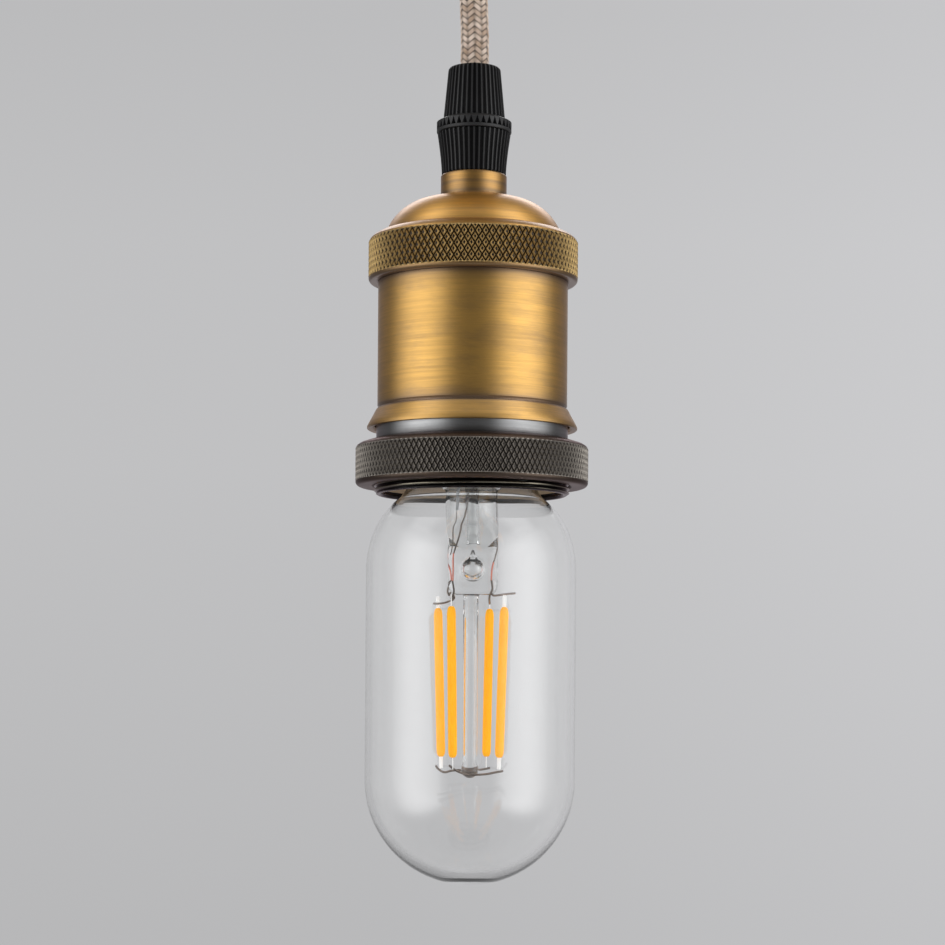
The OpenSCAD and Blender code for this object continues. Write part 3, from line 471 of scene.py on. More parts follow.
def route(points, per):
    """A smooth line that passes through the points, with per steps from each to the next."""
    p = [Vector(x) for x in points]
    p = [2 * p[0] - p[1]] + p + [2 * p[-1] - p[-2]]
    line = []
    for i in range(1, len(p) - 2):
        once = p[i + 1] - p[i - 1]
        twice = 2 * p[i - 1] - 5 * p[i] + 4 * p[i + 1] - p[i + 2]
        thrice = 3 * p[i] - p[i - 1] - 3 * p[i + 1] + p[i + 2]
        for k in range(per):
            u = k / per
            line.append(0.5 * (2 * p[i] + once * u + twice * u * u + thrice * u ** 3))
    return line + [p[-2]]


def tube(points, r, sides, wide=1.0, first=(1, 0, 0)):
    """A tube along points. r is a number or one for each point; wide stretches it along its first side."""
    points = [Vector(x) for x in points]
    radii = r if isinstance(r, list) else [r] * len(points)
    side = Vector(first)
    rows = []
    for i, (at, radius) in enumerate(zip(points, radii)):
        along = (points[min(i + 1, len(points) - 1)] - points[max(i - 1, 0)]).normalized()
        side = (side - along * side.dot(along)).normalized()
        other = along.cross(side)
        row = []
        for k in range(sides):
            a = TAU * k / sides
            row.append(tuple(at + side * (radius * wide * math.cos(a)) + other * (radius * math.sin(a))))
        rows.append(row)
    return grid(rows, caps=True)


# Cord: a braid of crossing strands round a core painted near black as the shade in its gaps

CORD_R = 3.05
TOP, FOOT = -48, -108  # in the frame, at the ceiling grip and at the lamp's grip
ROUTE = [(0, 0, FOOT), (0, 0, -101), (-0.4, 0, -90), (-0.6, 0, -78), (-0.4, 0, -66), (0, 0, -55), (0, 0, TOP)]
CARRIERS = 12  # strands in each direction
LAY = 15.7  # millimetres up for one turn of a strand
HALF_WIDE = 0.45  # of a strand
STEPS = 150
RIBBON = [(-1, 1), (-0.67, 1), (-0.34, 1), (0, 1), (0.34, 1), (0.67, 1), (1, 1),
          (0.6, -1), (0.2, -1), (-0.2, -1), (-0.6, -1)]  # (place across, side) round a strand's section
slant = math.atan2(TAU * CORD_R, LAY)

samples = [tuple(p) for p in route(ROUTE, 6)]
centre_x, centre_z = [p[0] for p in samples], [p[2] for p in samples]
braid = Parts()
braid.add(*tube(samples, CORD_R - 0.45, 24), "braid_core")
dips = [0.0] * len(braid.verts)
lights = [0.0] * len(braid.verts)
for hand in (1, -1):
    for strand in range(CARRIERS):
        rows = []
        for i in range(STEPS + 1):
            z = FOOT + (TOP - FOOT) * i / STEPS
            a = hand * TAU * (z - FOOT) / LAY + TAU * strand / CARRIERS
            crossings = CARRIERS / 2 * a
            over = hand * math.tanh(2.4 * math.sin(crossings)) / math.tanh(2.4)
            yarn = strand * 7 + int(crossings / TAU + 60) * 5 + (3 if hand > 0 else 0)
            pick = 0.8 * (yarn % 11) / 10
            low = 0.5 - 0.5 * over
            r = CORD_R - 0.28 + 0.13 * over
            x = np.interp(z, centre_z, centre_x)
            ring = []
            for u, side in RIBBON:
                plies = math.cos(3 * math.pi * u)
                lift = side * 0.15 * math.sqrt(1 - 0.92 * u * u) * (1 + 0.24 * plies)
                rr = r + lift * (1.0 if lift > 0 else 0.6)
                aa = a + HALF_WIDE * u * math.cos(slant) / CORD_R
                zz = z - hand * HALF_WIDE * u * math.sin(slant)
                ring.append((x + rr * math.cos(aa), rr * math.sin(aa), min(max(zz, FOOT), TOP)))
                # Painted shade: full on the strands' undersides, more where a strand passes under a crossing,
                # and in the gaps between plies and at a strand's edges.
                gap = max(0.0, -plies) * 0.3 if abs(u) < 0.9 else 0.6
                dips.append(1.0 if side < 0 else min(1.0, 0.85 * low ** 0.7 + gap))
                lights.append(pick)
            rows.append(ring)
        braid.add(*grid(rows, caps=True), "braid")
cord = braid.piece("braided_cord", ["braid", "braid_core"], None, angle=60, slot="braid")
for attribute, values in (("dip", dips), ("light", lights)):
    cord.data.attributes.new(attribute, "FLOAT", "POINT").data.foreach_set("value", values)
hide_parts("cord")
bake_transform(cord)


# CAD nodes that keep their shape take a material of their own

KEEP = {
    "galvanised": ["ceiling_bracket", "yoke"],
    "brass_canopy": ["canopy"],
    "plain_brass": ["ceiling_nipple", "ceiling_lock_nuts", "terminal_block_screws", "nipple", "lock_nuts",
                    "centre_contact", "terminals"],
    "black_plastic": ["ceiling_grip_cup", "ceiling_grip_nut"],
    "white_plastic": ["terminal_block"],
    "zinc": ["block_fixing_screw", "yoke_screws", "earth_screw", "contact_screw", "terminal_screws"],
    "braid": ["ceiling_cord_end", "lamp_cord_end"],
    "brown_wire": ["ceiling_live_wire", "live_wire"],
    "blue_wire": ["ceiling_neutral_wire", "neutral_wire"],
    "green_wire": ["ceiling_earth_wire", "earth_wire"],
    "ceramic": ["ceramic_core"],
    "black_glass": ["base_insulator"],
    "tinned": ["base_contact"],
    "cement": ["base_cement"],
    "board": ["driver_board"],
    "driver_black": ["driver_parts"],
}
for key, names in KEEP.items():
    for name in names:
        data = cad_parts[name].data
        data.materials.clear()
        data.materials.append(looks[key])


# Knurling: a lattice of blunt diamonds round a band


def knurl(parts, look, radius, depth, count, rows, low, high, rim_low, rim_high, flat, lip):
    """Rows of diamonds between two heights above the bulb's lowest point.

    A chamfer as high as lip goes down to radius rim_low, and another goes up to rim_high. flat is
    the share of a diamond that its top takes.
    """
    step = TAU / count / 2
    half = (high - low) / rows / 2
    root = radius - depth

    def at(m, k, r):
        return polar(r, m * step, level(low + k * half))

    for k in range(2 * rows + 1):
        corners = [(-1, 0), (0, -1), (1, 0), (0, 1)]
        if k == 0:
            corners = [(1, 0), (0, 1), (-1, 0)]
        elif k == 2 * rows:
            corners = [(-1, 0), (0, -1), (1, 0)]
        n = len(corners)
        flanks = [(i, (i + 1) % n, n + (i + 1) % n, n + i) for i in range(n if n == 4 else n - 1)]
        for m in range(1 - k % 2, 2 * count, 2):
            foot = [at(m + a, k + b, root) for a, b in corners]
            top = [at(m + a * flat, k + b * flat, radius) for a, b in corners]
            parts.add(foot + top, flanks + [tuple(range(n, 2 * n))], look)
    valley_and_top = [(-1, root), (-flat, radius), (flat, radius)]
    marks = [(m + a, r) for m in range(1, 2 * count, 2) for a, r in valley_and_top]
    n = len(marks)
    strip = [(i, (i + 1) % n, n + (i + 1) % n, n + i) for i in range(n)]
    for k, rim_r, rim_h in ((0, rim_low, low - lip), (2 * rows, rim_high, high + lip)):
        edge = [at(m, k, r) for m, r in marks]
        rim = [polar(rim_r, m * step, level(rim_h)) for m, _ in marks]
        parts.add(edge + rim, strip if k else [tuple(reversed(f)) for f in strip], look)


# Cap: neck, dome and knurled collar

cap = Parts()
cap.add(*raised([(18.6, 134.6), (20.0, 134.6), (20.0, 128.95), (20.3, 128.8), (21.5, 128.8),
                 *arc(21.6, 129.55, 0.78, -70, 0, 5), (22.38, 129.6)]), "brass_cap")
knurl(cap, "brass_knurl", 22.4, 0.55, 95, 3, 129.85, 137.25, 22.32, 22.2, flat=0.36, lip=0.25)
cap.add(*raised([(22.2, 137.48), (22.12, 137.75), (21.6, 138.25), (20.4, 138.9), (19.25, 139.22),
                 (18.95, 139.3), *arc(8.45, 135.5, 11, 20.6, 76, 26),
                 (7.3, 147.13), (7.08, 147.22), (7.05, 147.35), (7.05, 151.55), (6.85, 151.78), (5.2, 151.8),
                 (5.2, 145.3), (8.45, 145.3), *arc(8.45, 135.5, 9.8, 88, 0, 18),
                 (18.25, 134.9), (18.6, 134.6)]), "brass_cap")
cap.piece("cap_with_collar", ["brass_cap", "brass_knurl"], "pendant", angle=28,
          replaces=["cap"], slot="antique_brass")

# Shell with its flared hem, its groove, and the thread that goes up into the cap

flare = [(22.3, 97.4), (22.5, 97.55), (22.5, 97.9), (22.05, 98.8), (21.55, 99.7), (21.1, 100.5),
         (20.75, 101.2), (20.5, 101.62), (20.12, 101.8), (20.02, 102.0), (20.12, 102.25), (20.3, 102.45)]
outside = [(20.3, h) for h in (104, 110, 116, 122, 127.5, 128.75)] + [(19.7, 128.8)]
thread = [(19.68 if i % 5 in (0, 1) else 19.5, 129.0 + i * 0.2) for i in range(27)]
inside = [(19.5, 134.4), (18.7, 134.4), (18.7, 127.6), (19.3, 127.0), (19.3, 100.8), (20.95, 100.8),
          (20.95, 98.1), (21.3, 97.6), (22.3, 97.4)]
build("shell_tube", *raised(flare + outside + thread + inside), ["brass_shell"], "shell", angle=30,
      replaces=["shell"], slot="antique_brass")

# Sleeve: smooth band, helical thread below it, liner up inside the shell

SLEEVE_PITCH = 1.0
THREAD_LOW = 83.55


def sleeve_radius(a, z):
    """Root and crest of the thread, which is shallow at its foot and runs out at its top."""
    phase = ((z - level(83.3)) / SLEEVE_PITCH - a / TAU) % 1.0
    tooth = min(1.0, 1.3 * max(0.0, 1 - abs(phase - 0.5) / 0.46))
    fade = min(1.0, max(0.2, (z - level(THREAD_LOW)) / 0.3), max(0.0, (level(94.6) - z) / 0.5))
    return 20.4 + 0.52 * tooth * fade


sleeve = Parts()
sleeve.add(*shaped(sleeve_radius, [level(THREAD_LOW) + 0.11 * i for i in range(103)], 180), "thread_black")
sleeve.add(*raised([(20.4, 94.77), (20.5, 94.9), (20.5, 100.4), (18.9, 100.4), (18.9, 125.4), (18.0, 125.4),
                    (18.0, 99.0)]), "dark_sleeve")
sleeve.add(*raised([(18.0, 99.0), (19.4, 97.8), (19.4, 84.75)]), "sleeve_inside")
# The rim lies inside the thread's roots, so it takes their near-black painted shade.
sleeve.add(*raised([(19.4, 84.75), (19.5, 84.55), (19.5, 84.15), (19.42, 84.0), (19.6, 83.55), (19.85, 83.4),
                    (20.2, 83.4), (20.45, THREAD_LOW)]), "thread_black")
sleeve.piece("threaded_sleeve", ["dark_sleeve", "sleeve_inside", "thread_black"], "sleeve", angle=40,
             replaces=["shade_sleeve"], slot="dark_sleeve")

# Shade ring

ring_nut = Parts()
ring_nut.add(*raised([(21.05, 94.9), (21.05, 85.7), (21.4, 85.25), (22.0, 85.2), (23.9, 85.2),
                      *arc(23.9, 86.2, 1.0, -75, -8, 6), (24.86, 86.2)]), "bronze")
knurl(ring_nut, "bronze_knurl", 24.9, 0.45, 130, 3, 86.4, 93.2, 24.86, 24.8, flat=0.42, lip=0.2)
ring_nut.add(*raised([(24.8, 93.4), (24.6, 93.75), (24.0, 94.15), (22.6, 94.6), (21.5, 94.9),
                      (21.05, 94.9)]), "bronze")
ring_nut.piece("knurled_ring", ["bronze", "bronze_knurl"], "shade_ring", angle=28,
               replaces=["shade_ring"], slot="dark_bronze")

# Cord grip: ribbed cup and nut with rounded ribs and a toothed flange

CUP_RIBS, NUT_RIBS, TEETH = 42, 36, 38
RIB_DEPTH = 0.34
RIB_MARKS = [(0.0, 0), (0.29, 0), (0.37, 1), (0.5, 1), (0.63, 1), (0.71, 0)]  # (place, raised) across a rib
CUP_LOW, NUT_LOW = 151.8, 160.8
CUP_H, FLANGE_H, NUT_H = 9.0, 3.0, 14.0
FLANGE_R = 8.0
# The first look is painted shade in the valleys and notches, and the plastic of hidden faces; the second is
# the ribs' own tone.
GRIP_LOOKS = ["black_plastic", "plastic_rib"]


def ribbed(parts, outline, count, shares):
    """A turned surface of (radius, height) points with narrow raised ribs.

    shares says how much of the ribs' height there is at each point.
    """
    rows = []
    for (r, h), share in zip(outline, shares):
        row = []
        for k in range(count):
            for at, up in RIB_MARKS:
                chamfer = 0.06 * RIB_DEPTH if at in (0.37, 0.63) else 0
                rr = r - RIB_DEPTH * share * (1 - up) - chamfer
                row.append(polar(rr, TAU * (k + at) / count, level(h)))
        rows.append(row)
    verts, faces = grid(rows)
    marks = len(RIB_MARKS)
    # Valley faces take the darker plastic: painted shade between the ribs.
    parts.add(verts, faces, [GRIP_LOOKS[0 if i % marks in (0, marks - 1) else 1] for i in range(len(faces))])
    return rows


def rim_strip(rim, r, h, under=False):
    """Faces between a rim and a ring at radius r and height h, which lies under the rim or over it."""
    ring = [(r * x / math.hypot(x, y), r * y / math.hypot(x, y), level(h)) for x, y, _ in rim]
    return grid([ring, rim] if under else [rim, ring])


def cup_radius(h):
    """The cup widens upward, and its two rims are rounded."""
    rim = min(1.0, max(0.0, h / 0.3)) * min(1.0, max(0.0, (CUP_H - h) / 0.2))
    return 6.88 + 0.97 * (h / CUP_H) ** 1.5 - 0.22 * (1 - rim)


def nut_radius(h):
    """The nut narrows upward to a rounded rim."""
    rim = 1 - math.sqrt(max(0.0, 1 - max(0.0, (h - 13.4) / 0.6) ** 2))
    return 6.6 - 1.05 * (h - FLANGE_H) / (NUT_H - FLANGE_H) - 0.45 * rim


cup = Parts()
heights = [0.0, 0.06, 0.18, 0.3, 0.5] + [0.5 + 8.2 * i / 12 for i in range(1, 13)] + [8.82, 8.94, CUP_H]
rows = ribbed(cup, [(cup_radius(h), CUP_LOW + h) for h in heights], CUP_RIBS, [1.0] * len(heights))
cup.add(*rim_strip(rows[0], 6.0, CUP_LOW, under=True), "black_plastic")
cup.add(*rim_strip(rows[-1], 7.1, NUT_LOW), "black_plastic")
cup.add(*raised([(7.2, 160.8), (5.4, 160.8), (5.4, 167.3), (4.3, 169.3), (3.4, 168.8), (3.4, 158.6),
                 (5.05, 158.4), (5.05, 151.8), (6.2, 151.8)], 96), "black_plastic")
cup.piece("ribbed_cup", GRIP_LOOKS, "pendant", angle=35, replaces=["grip_cup"], slot="black_plastic")

nut = Parts()
nut.add(*raised([(7.2, 160.82), (7.72, 160.82), (7.92, 160.92), (8.0, 161.1), (8.0, 161.45), (7.95, 161.52),
                 (7.3, 161.52)], 152), "plastic_rib")
rows = []
for i in range(9):
    u = i / 8
    wide = 0.015 + 0.4 * (1 - u)
    valley = FLANGE_R - 0.62 * (1 - u)
    marks = ((-0.5, FLANGE_R), (-wide, FLANGE_R), (0.0, valley), (wide, FLANGE_R))
    z = level(161.52 + 1.6 * u)
    rows.append([polar(r, TAU * (k + at) / TEETH, z) for k in range(TEETH) for at, r in marks])
verts, faces = grid(rows)
# Notch faces take the darker plastic: painted shade in the notches.
nut.add(verts, faces, [GRIP_LOOKS[1 if i % 4 in (0, 3) else 0] for i in range(len(faces))])
nut.add(*raised([(8.0, 163.12), (7.9, 163.22), (6.75, 163.78), (6.5, 163.8), (6.0, 163.8)], 152),
        "plastic_rib")
heights = [FLANGE_H + 10.4 * i / 10 for i in range(11)] + [13.6, 13.8, 13.92, NUT_H]
shares = [1.0 if h < 13.5 else max(0.0, (NUT_H - h) / 0.5) for h in heights]
rows = ribbed(nut, [(nut_radius(h), NUT_LOW + h) for h in heights], NUT_RIBS, shares)
nut.add(*rim_strip(rows[-1], 4.9, 174.8), "plastic_rib")
nut.add(*raised([(5.0, 174.8), (3.3, 174.8), (3.25, 172.6), (5.7, 169.3), (5.7, 160.85), (7.3, 160.82)], 96),
        "black_plastic")
nut.piece("ribbed_nut", GRIP_LOOKS, "grip_nut", angle=35, replaces=["grip_nut"], slot="black_plastic")

# Glass of the bulb: a tube with a round bottom and a neck, its outside and then its inside

outer = arc(0, 22.5, 22.5, -90, 0, 44) + [(22.5, 35), (22.5, 50), (22.5, 60)]
outer += arc(8, 67.3, 14.5, 0, 60, 24, rz=17.9)
outer += [(14.72, 83.6), (14.05, 84.6), (13.35, 85.6), (12.75, 86.6), (12.45, 87.3), (11.6, 87.3),
          (11.6, 93.0)]
inner = [(10.6, 93.0), (10.6, 87.0), (11.4, 86.5), (12.1, 85.8), (12.75, 85.0), (13.4, 84.1), (14.1, 83.15)]
for i in range(25):
    a, wall = math.radians(60 - 2.5 * i), 0.75 + 0.35 * i / 24
    inner.append((8 + (14.5 - wall) * math.cos(a), 67.3 + (17.9 - wall) * math.sin(a)))
inner += [(21.4, 60), (21.4, 50), (21.4, 35), *arc(0, 22.5, 21.4, 0, -72, 36, rz=20.6)]
inner += [(6.0, 2.82), (5.2, 2.76), (3.5, 2.75), (1.7, 2.75), (0, 2.75)]
envelope = build("glass_bulb", *raised(outer + inner, 144), ["clear_glass"], "bulb", angle=0,
                 replaces=["glass_envelope"], slot="clear_glass")

# Stem: flare, tube, flat pinch with its blown bubble, and the exhaust tube inside

BUBBLE_X, BUBBLE_H, BUBBLE_R = 0.35, 67.5, 3.0


def lean(h):
    """The stem hangs a little to one side of the axis at its lower end."""
    return 0.4 * min(1.0, max(0.0, (81.5 - h) / 8.0))


def stem_ring(h, wide, deep, power=2.0, bubble=True, n=96):
    """A section of the stem: an ellipse for power 2, boxier for more, and swollen at the bubble."""
    ring = []
    for k in range(n):
        c, s = math.cos(TAU * k / n), math.sin(TAU * k / n)
        x = lean(h) + wide * c
        y = deep * max(0.0, 1 - abs(c) ** power) ** (1 / power)
        swell = BUBBLE_R ** 2 - (x - BUBBLE_X) ** 2 - (h - BUBBLE_H) ** 2
        if bubble and swell > 0:
            y = (y ** 6 + swell ** 3) ** (1 / 6)
        ring.append((x, math.copysign(y, s), level(h)))
    return ring


foot = [(62.1, 3.7, 1.1), (62.2, 4.1, 1.5), (62.4, 4.5, 1.75), (62.8, 4.9, 1.9), (63.3, 5.15, 1.95),
        (63.9, 5.3, 1.95)]
rows = [stem_ring(*section, 4) for section in foot]
rows += [stem_ring(63.9 + 0.27 * i, 5.35, 1.95, 4) for i in range(1, 26)]
for i in range(1, 19):
    u = i / 18
    ease = u * u * (3 - 2 * u)
    rows.append(stem_ring(70.65 + 8.6 * u, 5.35 + 0.25 * ease, 1.95 + 3.65 * ease, 4 - 2 * ease))
rows += [stem_ring(h, 5.6, 5.6) for h in (80.2, 81.5, 83.4)]
quarter = [math.radians(90 * i / 8) for i in range(1, 9)]
flare = [(83.9 + 2.6 * math.sin(a), 10.6 - 5.0 * math.cos(a)) for a in quarter]
flare += [(84.9 + 2.2 * math.sin(a), 10.6 - 5.8 * math.cos(a)) for a in reversed(quarter)]
rows += [stem_ring(h, r, r) for h, r in flare]
rows += [stem_ring(h, 4.8, 4.8, bubble=False) for h in (84.2, 81, 78.5)]
for i in range(1, 13):
    u = i / 12
    deep = max(0.015, 4.8 * (1 - u) ** 2.1)
    rows.append(stem_ring(78.0 - 6.2 * u, 4.8 - 2.4 * u ** 3, deep, 2 + 0.6 * u, bubble=False))
stem = Parts()
stem.add(*grid(rows, caps=True), "stem_glass")
cavity = [(0, 4.2), (0.3, 4.0), (0.5, 3.2), (0.7, 2.3), *arc(0, 0, 2.2, 66, -90, 20, rz=1.85)]
verts, faces = turned(cavity, 40)
stem.add([(BUBBLE_X + x, y, level(BUBBLE_H) + z) for x, y, z in verts], faces, "stem_glass")
verts, faces = raised([(0.95, 73.0), (1.5, 73.0), (1.5, 88), (0.95, 88), (0.95, 73.0)], 40)
stem.add([(x + lean(z - LOWEST), y, z) for x, y, z in verts], faces, "stem_glass")
stem_piece = stem.piece("glass_stem", ["stem_glass"], "bulb", angle=50, replaces=["stem"], slot="stem_glass")

rod = arc(0, 24.8, 1.9, -90, 30, 10)
rod += [(1.62, 26.3), (1.55, 27.2), (1.6, 29), (1.6, 45), (1.6, 61.6), (1.9, 62.2), (0.0, 62.3)]
rod_piece = build("glass_support_rod", *raised(rod, 48), ["stem_glass"], "bulb", angle=40,
                  replaces=["glass_rod"], slot="stem_glass")
for clear_piece in (envelope, stem_piece, rod_piece):
    clear_piece.visible_shadow = False

# Filaments: coated strips with bare metal ends

FILAMENTS = 4
FILAMENT_LOW, FILAMENT_AXIS_R, STRIP_R = 27.4, 7.2, 0.95
TURN, LEAN = math.radians(60), 1.0 / 32


def on_filament(i, h):
    """The point of a filament's middle line at a height. It leans outward as it goes up."""
    r = FILAMENT_AXIS_R + LEAN * (h - FILAMENT_LOW)
    return Vector(polar(r, TURN + TAU * i / FILAMENTS, level(h)))


along = [0, 0.15, 0.4, 0.8, 1.3, 2, 3, 6, 10, 14, 18, 22, 26, 29, 30.2, 30.9, 31.4, 31.8, 32]
fat = [0.45, 0.66, 0.82, 0.93, 0.98, 1.0, 0.98, 1.0, 0.99, 1.0,
       1.0, 0.99, 1.0, 0.98, 1.0, 0.94, 0.84, 0.66, 0.42]
tabs = Parts()
for i in range(FILAMENTS):
    a = TURN + TAU * i / FILAMENTS
    points = [on_filament(i, FILAMENT_LOW + u) for u in along]
    verts, faces = tube(points, [STRIP_R * f for f in fat], 24, first=(-math.sin(a), math.cos(a), 0))
    build(f"filament_strip_{i + 1}", verts, faces, ["phosphor_orange" if i % 2 else "phosphor_gold"], "bulb",
          angle=60, replaces=[f"filament_{i + 1}"], slot="phosphor")
    for low, high in ((24.9, 27.6), (59.2, 61.9)):
        points = [on_filament(i, low + (high - low) * u) for u in (0, 0.05, 0.5, 0.95, 1)]
        flat_side = (1, 0, 0) if i % 2 else (0, 1, 0)
        tabs.add(*tube(points, [0.09, 0.11, 0.11, 0.11, 0.09], 12, wide=3.7, first=flat_side), "filament_tab")
tabs.piece("filament_ends", ["filament_tab"], "bulb", angle=50,
           replaces=["filament_tabs"], slot="support_wire")

# Wires. Each place of a wire is (across, down, depth): two pixels of the picture, and millimetres
# behind the lamp's axis


def seen(across, down, depth):
    """The point of the row frame that the camera sees at a place."""
    dx = (across - PICTURE / 2) / PICTURE * SENSOR / LENS
    dz = (HORIZON - down) / PICTURE * SENSOR / LENS
    x = dx * math.cos(TILT) - dz * math.sin(TILT)
    z = dx * math.sin(TILT) + dz * math.cos(TILT)
    return (ASIDE + x * (DISTANCE + depth), depth, level(EYE) + z * (DISTANCE + depth))


def wires(name, materials, replaced, table):
    """One piece of several wires: radius, material, places, and points of the row frame before them."""
    parts = Parts()
    for r, look, places, *before in table:
        points = before + [seen(*place) for place in places]
        parts.add(*tube(route(points, 5), r, 10, first=(0, 1, 0.1)), look)
    parts.piece(name, materials, "bulb", angle=60, replaces=[replaced], slot="support_wire")


wires("lead_in_wires", ["dark_wire", "sleeving", "red_wire"], "lead_wires", [
    (0.17, "dark_wire", [(473.2, 488, -0.5), (469, 500, -0.6), (466.1, 513.2, -0.8), (459.5, 536.4, -0.9),
                         (453.9, 554.6, -1.0)], (-2.2, 0, level(96.4)), (0.4, -0.3, level(91))),
    (0.17, "red_wire", [(453.8, 554, -1.0), (453.4, 562, -1.1), (453.4, 572, -1.1), (453, 582, -1.2)]),
    (0.2, "dark_wire", [(452.8, 581.4, -1.2), (453.7, 588, -1.5), (453.8, 593.5, -2.2), (451.2, 597.5, -2.6),
                        (452.3, 600.2, -2.7), (454.4, 597.8, -3.2), (453.4, 595, -3.8)]),
    (0.12, "dark_wire", [(448.3, 549, -0.3), (448.4, 556, -0.3)]),
    (0.15, "red_wire", [(448.4, 555, -0.3), (448.8, 562, -0.4), (451.3, 571, -0.5), (452.2, 581.4, -0.6)]),
    (0.2, "dark_wire", [(451.6, 580.8, -0.6), (448.6, 587, -0.6), (447.6, 592, -0.8), (449.2, 595.4, -1.2),
                        (450.2, 592.6, -1.6)]),
    (0.22, "dark_wire", [(449.7, 601, -0.6), (445, 602.7, 1.2), (439, 603.6, 3.2), (433.6, 603.6, 4.4)]),
    (0.22, "dark_wire", [(452.6, 597, -2.6), (451.6, 599.5, -4.2), (451.3, 601, -6.6)]),
    (0.15, "dark_wire", [(495.2, 500, -0.8), (496.6, 530, -0.9), (496.4, 549, -0.9), (494.6, 558, -0.9),
                         (493, 564, -0.9)], (2.2, 0, level(96.4)), (4.2, -0.6, level(88))),
    (0.17, "red_wire", [(493.1, 563, -0.9), (491.5, 571, -1.0), (491.0, 581.4, -1.1)]),
    (0.22, "dark_wire", [(491.2, 580.6, -1.1), (492.2, 588.6, -1.2), (490.4, 593.6, -1.2)]),
    (0.24, "dark_wire", [(490.6, 592.6, -1.2), (489.4, 598, 0.6), (489.8, 603.6, 4.9)]),
    (0.22, "dark_wire", [(490.6, 593.2, -1.2), (493.6, 595.6, -1.8), (499, 595.2, -2.8), (507, 594.2, -3.9),
                         (515, 593.4, -4.9)]),
    (0.34, "sleeving", [(457.9, 488, 0.8), (457.6, 500, 0.6), (457.0, 512, 0.5)], (-2.6, 1.2, level(92))),
    (0.1, "dark_wire", [(457.0, 511, 0.5), (455.8, 530, 0.2), (453.2, 548, -0.2), (451.5, 556, -0.4)]),
])
wires("lower_wires", ["dark_wire"], "lower_support_wires", [
    (0.24, "dark_wire", [(449.5, 765.5, -6.5), (454.5, 769.5, -5.2), (460.7, 772.6, -3.4), (466, 774.2, -2.3),
                         (472.3, 774.8, -1.95), (480, 774.6, -2.2), (487.5, 773.9, -2.7), (495, 772.4, -3.3),
                         (503, 771, -3.8)]),
    (0.24, "dark_wire", [(435.4, 765.6, 3.8), (439, 769.6, 3.7), (444.5, 772.2, 3.2), (452, 770.5, 2.6),
                         (462, 770, 2.1), (474, 769.8, 2.3), (482, 769.4, 4.2), (489.5, 768, 6.4)]),
])

# Screw base and socket shell share the helix of the thread

SCREW_PITCH = 25.4 / 7
BASE_Z = level(87.5)
BASE_H = 17.4  # of its threaded part
SOCKET_LOW, SOCKET_HIGH = -192.8, -172.0


def screw(a, z):
    """Rounded thread from -1 in the root to 1 on the crest."""
    return math.sin(TAU * (z / SCREW_PITCH - a / TAU))


def base_radius(a, z, extra=0.0):
    h = z - BASE_Z
    fade = min(1.0, max(0.0, (h - 1.2) / 2.2), max(0.0, (17.2 - h) / 1.6))
    return 12.55 + extra + 0.5 * fade * screw(a, z) - 0.12 * fade


def socket_radius(a, z, extra=0.0):
    fade = min(1.0, max(0.0, z - SOCKET_LOW), max(0.0, (-174.5 - z) / 1.5))
    return 12.88 + extra + 0.42 * screw(a, z) * fade


base = Parts()
base.add(*shaped(base_radius, [BASE_Z + BASE_H * i / 90 for i in range(91)]), "nickel")
base.add(*turned([(12.55, BASE_Z + BASE_H), (12.1, BASE_Z + 17.9), (11.3, BASE_Z + 18.0),
                  (11.3, BASE_Z + 17.7), (12.1, BASE_Z + 17.2)], 120), "nickel")
heights = [BASE_Z + BASE_H - BASE_H * i / 60 for i in range(61)]
base.add(*shaped(lambda a, z: base_radius(a, z, -0.3), heights), "nickel")
base.add(*turned([(12.25, BASE_Z), (12.55, BASE_Z)], 120), "nickel")
base.piece("screw_base", ["nickel"], "bulb", angle=60, replaces=["base_shell"], slot="nickel")

socket = Parts()
heights = [SOCKET_LOW + (SOCKET_HIGH - SOCKET_LOW) * i / 96 for i in range(97)]
socket.add(*shaped(lambda a, z: socket_radius(a, z, 0.25), heights), "plain_brass")
socket.add(*turned([(13.13, SOCKET_HIGH), (13.13, -171.6), (8.8, -171.6), (8.8, SOCKET_HIGH),
                    (12.88, SOCKET_HIGH)], 120), "plain_brass")
socket.add(*shaped(socket_radius, heights[::-1]), "plain_brass")
socket.add(*turned([(12.88, SOCKET_LOW), (13.13, SOCKET_LOW)], 120), "plain_brass")
# A strip of the shell goes up to its terminal
strip = [(x, y, z) for z in (-171.8, -158.8) for x, y in ((-11.7, -2), (-11.1, -2), (-11.1, 2), (-11.7, 2))]
sides = [(3, 2, 1, 0), (4, 5, 6, 7), (0, 1, 5, 4), (1, 2, 6, 5), (2, 3, 7, 6), (3, 0, 4, 7)]
socket.add(strip, sides, "plain_brass")
socket.piece("socket_screw_shell", ["plain_brass"], "pendant", angle=60,
             replaces=["socket_shell"], slot="plain_brass")


# Stage: a pale sweep for floor and backdrop, and soft boxes round the lamp


def light_path(tree, *kinds):
    """1 for rays of any of these kinds, and 0 for the rest."""
    path = node(tree, "ShaderNodeLightPath")
    total = path.outputs[kinds[0]]
    for kind in kinds[1:]:
        total = joined(node(tree, "ShaderNodeMath", operation="MAXIMUM"), total, path.outputs[kind])
    return total


def show(tree, shader):
    feed(tree, tree.nodes["Material Output"].inputs["Surface"], shader)


